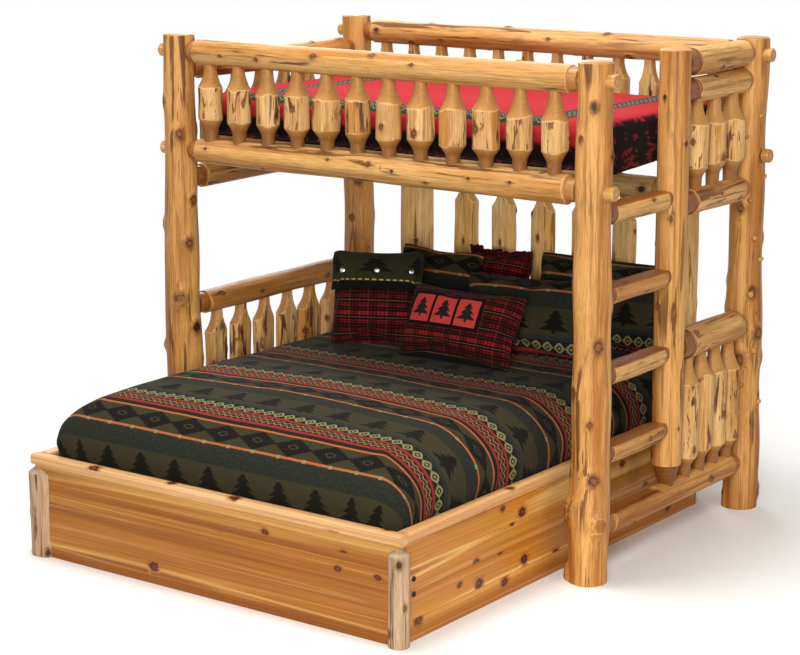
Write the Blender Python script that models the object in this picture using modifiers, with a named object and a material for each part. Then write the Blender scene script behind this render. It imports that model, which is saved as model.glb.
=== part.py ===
"""Log loft bed: a twin bunk on peeled cedar posts, with a platform bed standing under it at a right angle.

Metres, +Z up. Lengths along Y are measured from the front posts, and one empty then brings the middle of the
base to the origin.
"""

import math

import bmesh
import bpy
from mathutils import Matrix, Vector

# Fits
FIT = 0.0004
SEAT_GAP = 0.006
TENON_CLEARANCE = 0.0005

# Loft posts
POST_HEIGHT = 1.98
POST_BASE_RADIUS = 0.078
POST_TOP_RADIUS = 0.065
POST_TOP_CHAMFER = 0.006

# Ladder
LADDER_POST_Y = 0.585
LADDER_POST_RADIUS = 0.061
LADDER_SHOULDER_RISE = 0.075
LADDER_FOOT_RADIUS = 0.03
RUNG_RADIUS = 0.047
RUNG_FLAT = 0.027
RUNG_FIRST_Z = 0.485
RUNG_RISE = 0.308
RUNG_COUNT = 4

# Rails
SIDE_RAIL_RADIUS = 0.0525
END_RAIL_RADIUS = 0.05
RIGHT_TOP_RAIL_RADIUS = 0.0545
RIGHT_GUARD_RAIL_RADIUS = 0.0625
TENON_RADIUS = 0.025
THROUGH_TENON_RADIUS = 0.028
BLIND_TENON = 0.03
THROUGH_TENON = 0.027
CONE_LENGTH = 0.03
CONE_SHARE = 0.7
SHOULDER_STEP = 0.008
SHOULDER_SHARE = 0.88
SHOULDER_LENGTH = 0.04
TOP_RAIL_DROP = 0.07
LEFT_TOP_RAIL_DROP = 0.145
RIGHT_TOP_RAIL_DROP = 0.058
RIGHT_RAIL_GAP = 0.006
SIDE_GUARD_RISE = 0.41
END_LOWER_RAIL_DROP = 0.13
LEFT_GUARD_RAIL_Z = 0.82
RIGHT_GUARD_RAIL_Z = 0.797
FLOOR_RAIL_Z = 0.205
FLOOR_RAIL_FLAT = 0.036
FLOOR_FLAT_MARGIN = 0.05

# Spindles
SPINDLE_WIDTH = 0.108
SPINDLE_SPREAD = 0.06
SPINDLE_TENON = 0.028
SPINDLE_NECK_TOP = 0.025
SPINDLE_NECK_LOW = 0.029
SPINDLE_SHOULDER_DROP = 0.095
SPINDLE_TAPER = 0.08
SPINDLE_FLAT_BACK = 0.022
FLARE_PLACE = 0.6
FLARE_SHARE = 0.62
SIDE_ROW_MARGIN = 0.019
SIDE_SPINDLE_COUNT = 12
LEFT_ROW_MARGIN = 0.049
LEFT_SPINDLE_COUNT = 6
RIGHT_ROW_MARGIN = 0.0305
RIGHT_SPINDLE_COUNT = 3
GUARD_ROW_MARGIN = 0.018
GUARD_SPINDLE_COUNT = 4

# Natural shape of a peeled log
SWELL = 0.018
SLOW_WAVES = 1.3
QUICK_WAVES = 2.9
SLOW_SHARE = 0.6
WANDER = 0.003
WANDER_TURNS = 0.8
SLOW_STEP = 0.37
QUICK_STEP = 0.61
WANDER_STEP = 0.29
SPINDLE_STEP = 0.38
SMOOTH_ANGLE = math.radians(40)
WELD = 0.00001
BODY_STATIONS = 3
POST_STATIONS = 6
POST_SIDES_RESOLUTION = 3
RAIL_SIDES_RESOLUTION = 2
SPINDLE_SIDES_RESOLUTION = 2

# Upper bunk deck and mattress
UPPER_LEDGER_HEIGHT = 0.045
UPPER_LEDGER_WIDTH = 0.04
UPPER_LEDGER_REBATE = 0.008
UPPER_DECK_THICKNESS = 0.018
UPPER_DECK_RISE = 0.058
DECK_EDGE_GAP = 0.01
UPPER_MATTRESS_LENGTH = 1.905
UPPER_MATTRESS_WIDTH = 0.99
UPPER_MATTRESS_HEIGHT = 0.177
UPPER_SIDE_GAP = 0.0625

# Platform bed
PLATFORM_FOOT_Y = -1.0
PANEL_THICKNESS = 0.038
PANEL_HEIGHT = 0.37
CAP_HEIGHT = 0.042
CAP_OVERHANG = 0.012
CAP_BEVEL = 0.007
CAP_BEVEL_SEGMENTS = 2
LEFT_CORNER_POST_RADIUS = 0.065
RIGHT_CORNER_POST_RADIUS = 0.04
CORNER_POST_DEPTH = 0.03
LEFT_CORNER_POST_REACH = 0.048
CORNER_POST_CHAMFER = 0.024
CORNER_POST_DROP = 0.01
LOWER_MATTRESS_WIDTH = 1.676
LOWER_MATTRESS_LENGTH = 2.032
LOWER_MATTRESS_HEIGHT = 0.315
MATTRESS_END_GAP = 0.009
MATTRESS_SIDE_GAP = 0.014
PLATFORM_SIDE_GAP = 0.005
LOWER_DECK_Z = 0.33
LOWER_DECK_THICKNESS = 0.018
CLEAT_SIZE = 0.04
CLEAT_BITE = 0.001

# Headboard
HEADBOARD_LEFT_INSET = 0.27
HEADBOARD_RIGHT_INSET = 0.14
HEADBOARD_POST_RADIUS = 0.075
HEADBOARD_HEADROOM = 0.11
HEADBOARD_RAIL_RADIUS = 0.048
HEADBOARD_TOP_RAIL_DROP = 0.06
HEADBOARD_LOW_RAIL_Z = 0.46
HEADBOARD_FLAT = 0.012
SLAB_WIDTH = 0.105
SLAB_ROW_MARGIN = 0.095
SLAB_COUNT = 5
SLAB_FLAT_BACK = 0.03

# Soft forms
SOFT_CUTS = 3
UPPER_SOFT_EDGE = 0.05
LOWER_SOFT_EDGE = 0.075
SOFT_EDGE_SEGMENTS = 2
SOFT_EDGE_ANGLE = math.radians(50)
UPPER_CROWN = 0.012
LOWER_CROWN = 0.035
SOFT_DRAW = 0.006
CROWN_REACH = 0.5
PILLOW_CUTS = 5
PILLOW_SEAM = 0.012
PILLOW_PINCH = 0.06
PILLOW_FULLNESS = 0.45

# Pillows: place right of the platform's middle, base's distance from the head panel, width, height, thickness,
# then lean and turn in degrees
PILLOWS = {
    "pillow_back_left": (-0.28, 0.29, 0.47, 0.425, 0.14, 18.0, 0.0),
    "pillow_back_middle": (-0.075, 0.133, 0.36, 0.4, 0.13, 18.0, 0.0),
    "pillow_back_right": (0.4625, 0.133, 0.71, 0.455, 0.14, 18.0, 0.0),
    "pillow_buttoned": (-0.325, 0.62, 0.44, 0.455, 0.15, 18.0, 28.0),
    "pillow_large_right": (0.265, 0.398, 0.6, 0.385, 0.15, 22.0, 12.0),
    "pillow_lumbar": (0.12, 0.69, 0.6, 0.36, 0.14, 28.0, 0.0),
}

# Colours: red, green and blue, then roughness
CEDAR_LOG = (0.66, 0.40, 0.15, 0.5)
SPLIT_CEDAR = (0.68, 0.43, 0.19, 0.6)
CEDAR_BOARD = (0.62, 0.33, 0.11, 0.45)
PALE_LOG = (0.66, 0.50, 0.24, 0.55)
PEELED_WHITE = (0.78, 0.70, 0.56, 0.6)
DECK_WOOD = (0.60, 0.45, 0.27, 0.7)
RED_BLANKET = (0.55, 0.05, 0.06, 0.95)
OLIVE_SPREAD = (0.06, 0.07, 0.04, 0.95)
DARK_PLAID = (0.16, 0.03, 0.03, 0.95)

# Derived heights
TOP_RAIL_Z = POST_HEIGHT - TOP_RAIL_DROP
LEFT_TOP_RAIL_Z = POST_HEIGHT - LEFT_TOP_RAIL_DROP
RIGHT_TOP_RAIL_Z = POST_HEIGHT - RIGHT_TOP_RAIL_DROP
RIGHT_SECOND_RAIL_Z = RIGHT_TOP_RAIL_Z - RIGHT_TOP_RAIL_RADIUS - END_RAIL_RADIUS - RIGHT_RAIL_GAP
LOWER_RAIL_Z = TOP_RAIL_Z - SIDE_GUARD_RISE
END_LOWER_RAIL_Z = LOWER_RAIL_Z - END_LOWER_RAIL_DROP
UPPER_DECK_Z = LOWER_RAIL_Z + UPPER_DECK_RISE
UPPER_LEDGER_TOP = UPPER_DECK_Z - UPPER_DECK_THICKNESS - FIT
HEADBOARD_HEIGHT = UPPER_LEDGER_TOP - UPPER_LEDGER_HEIGHT - HEADBOARD_HEADROOM
HEADBOARD_TOP_RAIL_Z = HEADBOARD_HEIGHT - HEADBOARD_TOP_RAIL_DROP
CORNER_POST_HEIGHT = PANEL_HEIGHT - CORNER_POST_DROP

# Derived places: the posts take the bunk's mattress or the platform between them, whichever is wider
PLATFORM_WIDTH = LOWER_MATTRESS_WIDTH + 2 * (MATTRESS_SIDE_GAP + PANEL_THICKNESS)
POST_TO_PANEL = POST_BASE_RADIUS + PLATFORM_SIDE_GAP + CAP_OVERHANG
HALF_X_FOR_BUNK = UPPER_MATTRESS_LENGTH / 2 + LADDER_POST_RADIUS * (1 + SWELL) + FIT
HALF_X_FOR_PLATFORM = PLATFORM_WIDTH / 2 + POST_TO_PANEL
HALF_X = max(HALF_X_FOR_BUNK, HALF_X_FOR_PLATFORM)
POST_SPAN_Y = UPPER_MATTRESS_WIDTH + 2 * (UPPER_SIDE_GAP + SIDE_RAIL_RADIUS)
PLATFORM_LEFT_X = POST_TO_PANEL - HALF_X
PLATFORM_RIGHT_X = PLATFORM_LEFT_X + PLATFORM_WIDTH
PLATFORM_CENTRE_X = (PLATFORM_LEFT_X + PLATFORM_RIGHT_X) / 2
HEADBOARD_LEFT_X = PLATFORM_LEFT_X + HEADBOARD_LEFT_INSET
HEADBOARD_RIGHT_X = PLATFORM_RIGHT_X - HEADBOARD_RIGHT_INSET
CAP_WIDTH = CAP_OVERHANG + PANEL_THICKNESS
HEAD_PANEL_Y = PLATFORM_FOOT_Y + PANEL_THICKNESS + 2 * MATTRESS_END_GAP + LOWER_MATTRESS_LENGTH
HEADBOARD_Y = HEAD_PANEL_Y + PANEL_THICKNESS + HEADBOARD_POST_RADIUS - HEADBOARD_FLAT
LOWER_MATTRESS_TOP = LOWER_DECK_Z + FIT + LOWER_MATTRESS_HEIGHT
FRONT_MOST_Y = PLATFORM_FOOT_Y - FIT - CORNER_POST_DEPTH
BACK_MOST_Y = POST_SPAN_Y + POST_BASE_RADIUS
BASE_MIDDLE_Y = (FRONT_MOST_Y + BACK_MOST_Y) / 2

# Derived bays between posts, which the spindle rows fill
SIDE_BAY = 2 * (HALF_X - POST_BASE_RADIUS)
LEFT_BAY = POST_SPAN_Y - 2 * POST_BASE_RADIUS
RIGHT_BAY = POST_SPAN_Y - LADDER_POST_Y - LADDER_POST_RADIUS - POST_BASE_RADIUS
SLAB_BAY = HEADBOARD_RIGHT_X - HEADBOARD_LEFT_X - 2 * HEADBOARD_POST_RADIUS
SIDE_SPINDLE_PITCH = (SIDE_BAY - 2 * SIDE_ROW_MARGIN) / SIDE_SPINDLE_COUNT
LEFT_SPINDLE_PITCH = (LEFT_BAY - 2 * LEFT_ROW_MARGIN) / LEFT_SPINDLE_COUNT
RIGHT_SPINDLE_PITCH = (RIGHT_BAY - 2 * RIGHT_ROW_MARGIN) / RIGHT_SPINDLE_COUNT
GUARD_SPINDLE_PITCH = (RIGHT_BAY - 2 * GUARD_ROW_MARGIN) / GUARD_SPINDLE_COUNT
SLAB_PITCH = (SLAB_BAY - 2 * SLAB_ROW_MARGIN) / SLAB_COUNT
LADDER_FOOT_Z = FLOOR_RAIL_Z + END_RAIL_RADIUS + LADDER_SHOULDER_RISE
AXIS_X = Vector((1, 0, 0))
AXIS_Y = Vector((0, 1, 0))
AXIS_Z = Vector((0, 0, 1))

for leftover in list(bpy.data.objects):
    bpy.data.objects.remove(leftover)

PARTS = bpy.data.collections.new("log_loft_bed")
CUTTERS = bpy.data.collections.new("cutters")
for group in (PARTS, CUTTERS):
    bpy.context.scene.collection.children.link(group)

BASE = bpy.data.objects.new("base_middle", None)
BASE.location = (0, -BASE_MIDDLE_Y, 0)
PARTS.objects.link(BASE)

MORTISES = {}


# Objects and materials


def material(name, colour):
    made = bpy.data.materials.new(name)
    made.use_nodes = True
    shader = made.node_tree.nodes["Principled BSDF"]
    shader.inputs["Base Color"].default_value = (*colour[:3], 1.0)
    shader.inputs["Roughness"].default_value = colour[3]
    shader.inputs["Metallic"].default_value = 0.0
    return made


def place(name, mesh, colour):
    """A named part in the part's collection, carried by the base empty."""
    part = bpy.data.objects.new(name, mesh)
    mesh.materials.append(material(name, colour))
    part.parent = BASE
    PARTS.objects.link(part)
    return part


def cutter(name, mesh):
    tool = bpy.data.objects.new(name, mesh)
    tool.parent = BASE
    tool.hide_render = True
    tool.display_type = "WIRE"
    CUTTERS.objects.link(tool)
    return tool


def boolean(part, tool, operation):
    step = part.modifiers.new(tool.name, "BOOLEAN")
    step.operation = operation
    step.object = tool
    return step


def joined(name, meshes):
    """One mesh that holds several separate closed bodies."""
    form = bmesh.new()
    for mesh in meshes:
        form.from_mesh(mesh)
    whole = bpy.data.meshes.new(name)
    form.to_mesh(whole)
    form.free()
    return whole


# Logs


def swell(seed, share):
    """Slow thick and thin of a peeled log, as a factor on its radius."""
    slow = math.sin(math.tau * (SLOW_WAVES * share + SLOW_STEP * seed))
    quick = math.sin(math.tau * (QUICK_WAVES * share + QUICK_STEP * seed))
    return 1 + SWELL * (SLOW_SHARE * slow + (1 - SLOW_SHARE) * quick)


def wander(seed, share, first, second):
    """How far a log's heart strays from a straight line, nothing at its ends."""
    reach = WANDER * math.sin(math.pi * share)
    turn = math.tau * (WANDER_TURNS * share + WANDER_STEP * seed)
    return reach * (math.cos(turn) * first + math.sin(turn) * second)


def tube_mesh(name, stations, resolution):
    """A closed tube through (place, radius) stations."""
    path = bpy.data.curves.new(name, "CURVE")
    path.dimensions = "3D"
    path.bevel_depth = 1.0
    path.bevel_resolution = resolution
    path.use_fill_caps = True
    spline = path.splines.new("POLY")
    spline.points.add(len(stations) - 1)
    for point, (spot, radius) in zip(spline.points, stations):
        point.co = (*spot, 1.0)
        point.radius = radius
    guide = bpy.data.objects.new(name, path)
    bpy.context.scene.collection.objects.link(guide)
    seen = guide.evaluated_get(bpy.context.evaluated_depsgraph_get())
    mesh = bpy.data.meshes.new_from_object(seen)
    bpy.data.objects.remove(guide)
    bpy.data.curves.remove(path)
    form = bmesh.new()
    form.from_mesh(mesh)
    bmesh.ops.remove_doubles(form, verts=form.verts, dist=WELD)
    bmesh.ops.recalc_face_normals(form, faces=form.faces)
    form.to_mesh(mesh)
    form.free()
    mesh.name = name
    mesh.shade_smooth()
    mesh.set_sharp_from_angle(angle=SMOOTH_ANGLE)
    return mesh


def cut_flat(mesh, point, outward):
    """Saw a flat: everything beyond the plane goes, and the cut is closed."""
    form = bmesh.new()
    form.from_mesh(mesh)
    everything = form.verts[:] + form.edges[:] + form.faces[:]
    bmesh.ops.bisect_plane(form, geom=everything, plane_co=point, plane_no=outward, clear_outer=True)
    rim = [edge for edge in form.edges if edge.is_boundary]
    bmesh.ops.holes_fill(form, edges=rim)
    bmesh.ops.recalc_face_normals(form, faces=form.faces)
    form.to_mesh(mesh)
    form.free()


def post_radius(height):
    return POST_BASE_RADIUS + (POST_TOP_RADIUS - POST_BASE_RADIUS) * height / POST_HEIGHT


def post_mesh(name, x, y, seed):
    """A corner post: tapered, a little wavy above a straight foot, with its top edge eased."""
    stations = []
    for step in range(POST_STATIONS + 1):
        share = step / POST_STATIONS
        height = share * (POST_HEIGHT - POST_TOP_CHAMFER)
        bend = max(step - 1, 0) / (POST_STATIONS - 1)
        spot = Vector((x, y, height)) + wander(seed, bend, AXIS_X, AXIS_Y)
        factor = 1.0 if step == 0 else swell(seed, share)
        stations.append((spot, post_radius(height) * factor))
    stations.append((Vector((x, y, POST_HEIGHT)), POST_TOP_RADIUS - POST_TOP_CHAMFER))
    return tube_mesh(name, stations, POST_SIDES_RESOLUTION)


def log_end(tenon_radius, tenon_length, body_radius):
    """Distance from the tip and radius, along tenon, cone and rounded shoulder."""
    cone_end = tenon_length + CONE_LENGTH
    return [
        (0.0, tenon_radius),
        (tenon_length, tenon_radius),
        (cone_end, max(tenon_radius, CONE_SHARE * body_radius)),
        (cone_end + SHOULDER_STEP, SHOULDER_SHARE * body_radius),
        (cone_end + SHOULDER_LENGTH, body_radius),
    ]


def rail_mesh(name, tips, tenons, radius, seed, tenon_radius=TENON_RADIUS):
    """A rail between two tenon tips; tenons gives the length of each tenon from its tip."""
    start, end = tips
    along = (end - start).normalized()
    length = (end - start).length
    across = AXIS_Z.cross(along).normalized()
    up = along.cross(across)
    head = log_end(tenon_radius, tenons[0], radius)
    tail = [(length - reach, size) for reach, size in reversed(log_end(tenon_radius, tenons[1], radius))]
    first, last = head[-1][0], tail[0][0]
    body = []
    for step in range(1, BODY_STATIONS + 1):
        share = step / (BODY_STATIONS + 1)
        body.append((first + (last - first) * share, radius * swell(seed, share)))
    stations = []
    for reach, size in head + body + tail:
        share = min(max((reach - first) / (last - first), 0.0), 1.0)
        stations.append((start + along * reach + wander(seed, share, across, up), size))
    return tube_mesh(name, stations, RAIL_SIDES_RESOLUTION)


def note_mortise(owner, inner, outer, radius, resolution):
    """Remember a hole in owner for a tenon from inner to outer, with as many sides as the tenon."""
    along = (outer - inner).normalized()
    hole = (inner - along * TENON_CLEARANCE, outer + along * SEAT_GAP, radius + TENON_CLEARANCE, resolution)
    MORTISES.setdefault(owner, []).append(hole)


def cut_mortises(owner):
    holes = []
    for number, (inner, outer, radius, resolution) in enumerate(MORTISES[owner.name]):
        name = f"{owner.name}_hole_{number}"
        holes.append(tube_mesh(name, [(inner, radius), (outer, radius)], resolution))
    boolean(owner, cutter(f"{owner.name}_mortises", joined(f"{owner.name}_mortises", holes)), "DIFFERENCE")


def rail_between(name, centres, owners, faces, through, radius, seed, tenon_radius=TENON_RADIUS):
    """A rail whose tenons enter the logs at its two ends; faces gives each log's radius there."""
    start, end = centres
    along = (end - start).normalized()
    tips, tenons = [], []
    for centre, owner, face, sense in zip(centres, owners, faces, (1, -1)):
        root = centre + along * sense * (face + SEAT_GAP)
        if through:
            tip = centre - along * sense * (face + THROUGH_TENON)
        else:
            tip = centre + along * sense * (face - BLIND_TENON)
        tips.append(tip)
        tenons.append((root - tip).length)
        note_mortise(owner, tip, root, tenon_radius, RAIL_SIDES_RESOLUTION)
    return rail_mesh(name, tips, tenons, radius, seed, tenon_radius)


# Spindles


def spindle_mesh(name, foot, low, high, width, seed, flat_back, rough_side):
    """A split-log spindle: bell neck, sharp shoulder, broad body and a tapered foot, flat on its back.

    foot is the axis on the ground plan, low and high the rail faces that it stands between, and rough_side
    points to the round side.
    """
    turn = math.tau * SPINDLE_STEP * seed
    half = width / 2 * (1 + SPINDLE_SPREAD * math.sin(turn))
    drop = SPINDLE_SHOULDER_DROP * (1 + SPINDLE_SPREAD * math.cos(2 * turn))
    heights = [
        (low - SPINDLE_TENON, SPINDLE_NECK_LOW),
        (low + SEAT_GAP, SPINDLE_NECK_LOW),
        (low + SPINDLE_TAPER, half * swell(seed, 0.3)),
        (high - drop, half),
        (high - drop * FLARE_PLACE, half * FLARE_SHARE),
        (high - SEAT_GAP, SPINDLE_NECK_TOP),
        (high + SPINDLE_TENON, SPINDLE_NECK_TOP),
    ]
    stations = [(Vector((foot.x, foot.y, height)), size) for height, size in heights]
    mesh = tube_mesh(name, stations, SPINDLE_SIDES_RESOLUTION)
    cut_flat(mesh, foot - rough_side * flat_back, -rough_side)
    return mesh


def spindle_mortise(owner, foot, face, sense, radius):
    """The hole for a spindle's tenon: sense 1 for a rail above it, -1 for one below."""
    inner = Vector((foot.x, foot.y, face + sense * SPINDLE_TENON))
    outer = Vector((foot.x, foot.y, face - sense * SEAT_GAP))
    note_mortise(owner, inner, outer, radius, SPINDLE_SIDES_RESOLUTION)


def row(middle, direction, count, pitch):
    """Evenly pitched places about a middle."""
    return [middle + direction * pitch * (number - (count - 1) / 2) for number in range(count)]


def spindle_row(name, feet, rails, width, rough_side, flat_back=SPINDLE_FLAT_BACK):
    """Meshes for a row of spindles; rails is (upper rail's name, its face, lower rail's face)."""
    upper, high, low = rails
    meshes = []
    for number, foot in enumerate(feet):
        meshes.append(spindle_mesh(f"{name}_{number}", foot, low, high, width, number, flat_back, rough_side))
        spindle_mortise(upper, foot, high, 1, SPINDLE_NECK_TOP)
    return meshes


# Loft


def build_posts():
    corners = {
        "front_left_post": (-HALF_X, 0.0, 1),
        "front_right_post": (HALF_X, 0.0, 2),
        "back_left_post": (-HALF_X, POST_SPAN_Y, 3),
        "back_right_post": (HALF_X, POST_SPAN_Y, 4),
    }
    return [place(name, post_mesh(name, *spot), CEDAR_LOG) for name, spot in corners.items()]


def build_ladder_post():
    """The ladder post stands on the floor rail by a tapered tenon."""
    name = "ladder_post"
    rail_face = FLOOR_RAIL_Z + END_RAIL_RADIUS
    foot = Vector((HALF_X, LADDER_POST_Y, 0))
    levels = [
        (rail_face - BLIND_TENON, LADDER_FOOT_RADIUS),
        (rail_face + SEAT_GAP, LADDER_FOOT_RADIUS),
        (LADDER_FOOT_Z, LADDER_POST_RADIUS * SHOULDER_SHARE),
        (LADDER_FOOT_Z + SHOULDER_STEP, LADDER_POST_RADIUS),
    ]
    rise = POST_HEIGHT - POST_TOP_CHAMFER - levels[-1][0]
    for step in range(1, POST_STATIONS):
        share = step / (POST_STATIONS - 1)
        levels.append((levels[3][0] + rise * share, LADDER_POST_RADIUS * swell(5, share)))
    levels.append((POST_HEIGHT, LADDER_POST_RADIUS - POST_TOP_CHAMFER))
    stations = [(foot + AXIS_Z * height, size) for height, size in levels]
    tenon = foot + AXIS_Z * levels[0][0]
    root = foot + AXIS_Z * levels[1][0]
    note_mortise("right_floor_rail_and_spindles", tenon, root, LADDER_FOOT_RADIUS, POST_SIDES_RESOLUTION)
    return place(name, tube_mesh(name, stations, POST_SIDES_RESOLUTION), CEDAR_LOG)


def build_side_rails():
    """Front and back rails, whose tenons pass right through the posts."""
    made = {}
    for seed, (side, y) in enumerate((("front", 0.0), ("back", POST_SPAN_Y))):
        for level, height in (("top", TOP_RAIL_Z), ("lower", LOWER_RAIL_Z)):
            name = f"{side}_{level}_rail"
            if name == "back_lower_rail":
                name = "back_lower_rail_and_spindles"
            ends = (Vector((-HALF_X, y, height)), Vector((HALF_X, y, height)))
            owners = (f"{side}_left_post", f"{side}_right_post")
            faces = (post_radius(height), post_radius(height))
            mesh = rail_between(name, ends, owners, faces, True, SIDE_RAIL_RADIUS, seed + height,
                                THROUGH_TENON_RADIUS)
            made[name] = place(name, mesh, CEDAR_LOG)
    return made


def build_end_rails():
    """Rails of the two ends, with blind tenons, and the floor rails that the ladder and guards stand on."""
    left = (("front_left_post", 0.0), ("back_left_post", POST_SPAN_Y))
    right = (("front_right_post", 0.0), ("back_right_post", POST_SPAN_Y))
    right_rear = (("ladder_post", LADDER_POST_Y), ("back_right_post", POST_SPAN_Y))
    plan = (
        ("left_top_rail", -HALF_X, LEFT_TOP_RAIL_Z, left, END_RAIL_RADIUS),
        ("left_lower_rail_and_spindles", -HALF_X, END_LOWER_RAIL_Z, left, END_RAIL_RADIUS),
        ("left_guard_rail", -HALF_X, LEFT_GUARD_RAIL_Z, left, END_RAIL_RADIUS),
        ("left_floor_rail_and_spindles", -HALF_X, FLOOR_RAIL_Z, left, END_RAIL_RADIUS),
        ("right_top_rail", HALF_X, RIGHT_TOP_RAIL_Z, right_rear, RIGHT_TOP_RAIL_RADIUS),
        ("right_second_rail", HALF_X, RIGHT_SECOND_RAIL_Z, right_rear, END_RAIL_RADIUS),
        ("right_lower_rail_and_spindles", HALF_X, END_LOWER_RAIL_Z, right_rear, END_RAIL_RADIUS),
        ("right_guard_rail", HALF_X, RIGHT_GUARD_RAIL_Z, right_rear, RIGHT_GUARD_RAIL_RADIUS),
        ("right_floor_rail_and_spindles", HALF_X, FLOOR_RAIL_Z, right, END_RAIL_RADIUS),
    )
    made = {}
    for seed, (name, x, height, holders, radius) in enumerate(plan):
        ends = [Vector((x, y, height)) for _, y in holders]
        owners = [holder for holder, _ in holders]
        faces = [LADDER_POST_RADIUS if holder == "ladder_post" else post_radius(height) for holder in owners]
        mesh = rail_between(name, ends, owners, faces, False, radius, seed + 7)
        made[name] = place(name, mesh, CEDAR_LOG)
    return made


def build_rungs():
    made = []
    for number in range(RUNG_COUNT):
        name = f"ladder_rung_{number + 1}"
        height = RUNG_FIRST_Z + number * RUNG_RISE
        ends = (Vector((HALF_X, 0.0, height)), Vector((HALF_X, LADDER_POST_Y, height)))
        owners = ("front_right_post", "ladder_post")
        faces = (post_radius(height), LADDER_POST_RADIUS)
        mesh = rail_between(name, ends, owners, faces, False, RUNG_RADIUS, number + 20)
        cut_flat(mesh, Vector((HALF_X, 0.0, height + RUNG_FLAT)), AXIS_Z)
        made.append(place(name, mesh, CEDAR_LOG))
    return made


def build_front_spindles():
    """Twelve split-log spindles, each pegged into the rail above and the rail below."""
    high = TOP_RAIL_Z - SIDE_RAIL_RADIUS
    low = LOWER_RAIL_Z + SIDE_RAIL_RADIUS
    feet = row(Vector((0, 0, 0)), AXIS_X, SIDE_SPINDLE_COUNT, SIDE_SPINDLE_PITCH)
    rails = ("front_top_rail", high, low)
    for number, mesh in enumerate(spindle_row("front_spindle", feet, rails, SPINDLE_WIDTH, -AXIS_Y)):
        spindle_mortise("front_lower_rail", feet[number], low, -1, SPINDLE_NECK_LOW)
        place(f"front_spindle_{number + 1}", mesh, SPLIT_CEDAR)


def build_glued_rows(rails):
    """Spindle rows that are glued into the rail that they stand on."""
    back_middle = Vector((0, POST_SPAN_Y, 0))
    left_middle = Vector((-HALF_X, POST_SPAN_Y / 2, 0))
    right_middle = Vector((HALF_X, (LADDER_POST_Y + POST_SPAN_Y) / 2, 0))
    plan = (
        ("back_lower_rail_and_spindles", "back_top_rail", back_middle, AXIS_X, SIDE_SPINDLE_COUNT,
         SIDE_SPINDLE_PITCH, TOP_RAIL_Z - SIDE_RAIL_RADIUS, LOWER_RAIL_Z + SIDE_RAIL_RADIUS, AXIS_Y),
        ("left_lower_rail_and_spindles", "left_top_rail", left_middle, AXIS_Y, LEFT_SPINDLE_COUNT,
         LEFT_SPINDLE_PITCH, LEFT_TOP_RAIL_Z - END_RAIL_RADIUS, END_LOWER_RAIL_Z + END_RAIL_RADIUS, -AXIS_X),
        ("left_floor_rail_and_spindles", "left_guard_rail", left_middle, AXIS_Y, LEFT_SPINDLE_COUNT,
         LEFT_SPINDLE_PITCH, LEFT_GUARD_RAIL_Z - END_RAIL_RADIUS, FLOOR_RAIL_Z + END_RAIL_RADIUS, -AXIS_X),
        ("right_lower_rail_and_spindles", "right_second_rail", right_middle, AXIS_Y, RIGHT_SPINDLE_COUNT,
         RIGHT_SPINDLE_PITCH, RIGHT_SECOND_RAIL_Z - END_RAIL_RADIUS, END_LOWER_RAIL_Z + END_RAIL_RADIUS,
         AXIS_X),
        ("right_floor_rail_and_spindles", "right_guard_rail", right_middle, AXIS_Y, GUARD_SPINDLE_COUNT,
         GUARD_SPINDLE_PITCH, RIGHT_GUARD_RAIL_Z - RIGHT_GUARD_RAIL_RADIUS, FLOOR_RAIL_Z + END_RAIL_RADIUS,
         AXIS_X),
    )
    for lower, upper, middle, direction, count, pitch, high, low, rough_side in plan:
        feet = row(middle, direction, count, pitch)
        meshes = spindle_row(f"{lower}_spindle", feet, (upper, high, low), SPINDLE_WIDTH, rough_side)
        boolean(rails[lower], cutter(f"{lower}_row", joined(f"{lower}_row", meshes)), "UNION")


def flatten_floor_rail(rail):
    """A step sawn on top of the right floor rail, before the ladder."""
    low_y = POST_BASE_RADIUS + FLOOR_FLAT_MARGIN
    high_y = LADDER_POST_Y - LADDER_POST_RADIUS - FLOOR_FLAT_MARGIN
    low = Vector((HALF_X - 2 * END_RAIL_RADIUS, low_y, FLOOR_RAIL_Z + FLOOR_RAIL_FLAT))
    high = Vector((HALF_X + 2 * END_RAIL_RADIUS, high_y, FLOOR_RAIL_Z + 2 * END_RAIL_RADIUS))
    boolean(rail, cutter("floor_rail_step", box_mesh("floor_rail_step", low, high)), "DIFFERENCE")


# Boards


def box_mesh(name, low, high):
    form = bmesh.new()
    bmesh.ops.create_cube(form, size=1.0)
    size = high - low
    bmesh.ops.scale(form, vec=size, verts=form.verts)
    bmesh.ops.translate(form, vec=(low + high) / 2, verts=form.verts)
    mesh = bpy.data.meshes.new(name)
    form.to_mesh(mesh)
    form.free()
    return mesh


def board(name, low, high, colour, bevel=0.0):
    part = place(name, box_mesh(name, Vector(low), Vector(high)), colour)
    if bevel:
        edge = part.modifiers.new("eased_edges", "BEVEL")
        edge.width = bevel
        edge.segments = CAP_BEVEL_SEGMENTS
    return part


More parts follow.
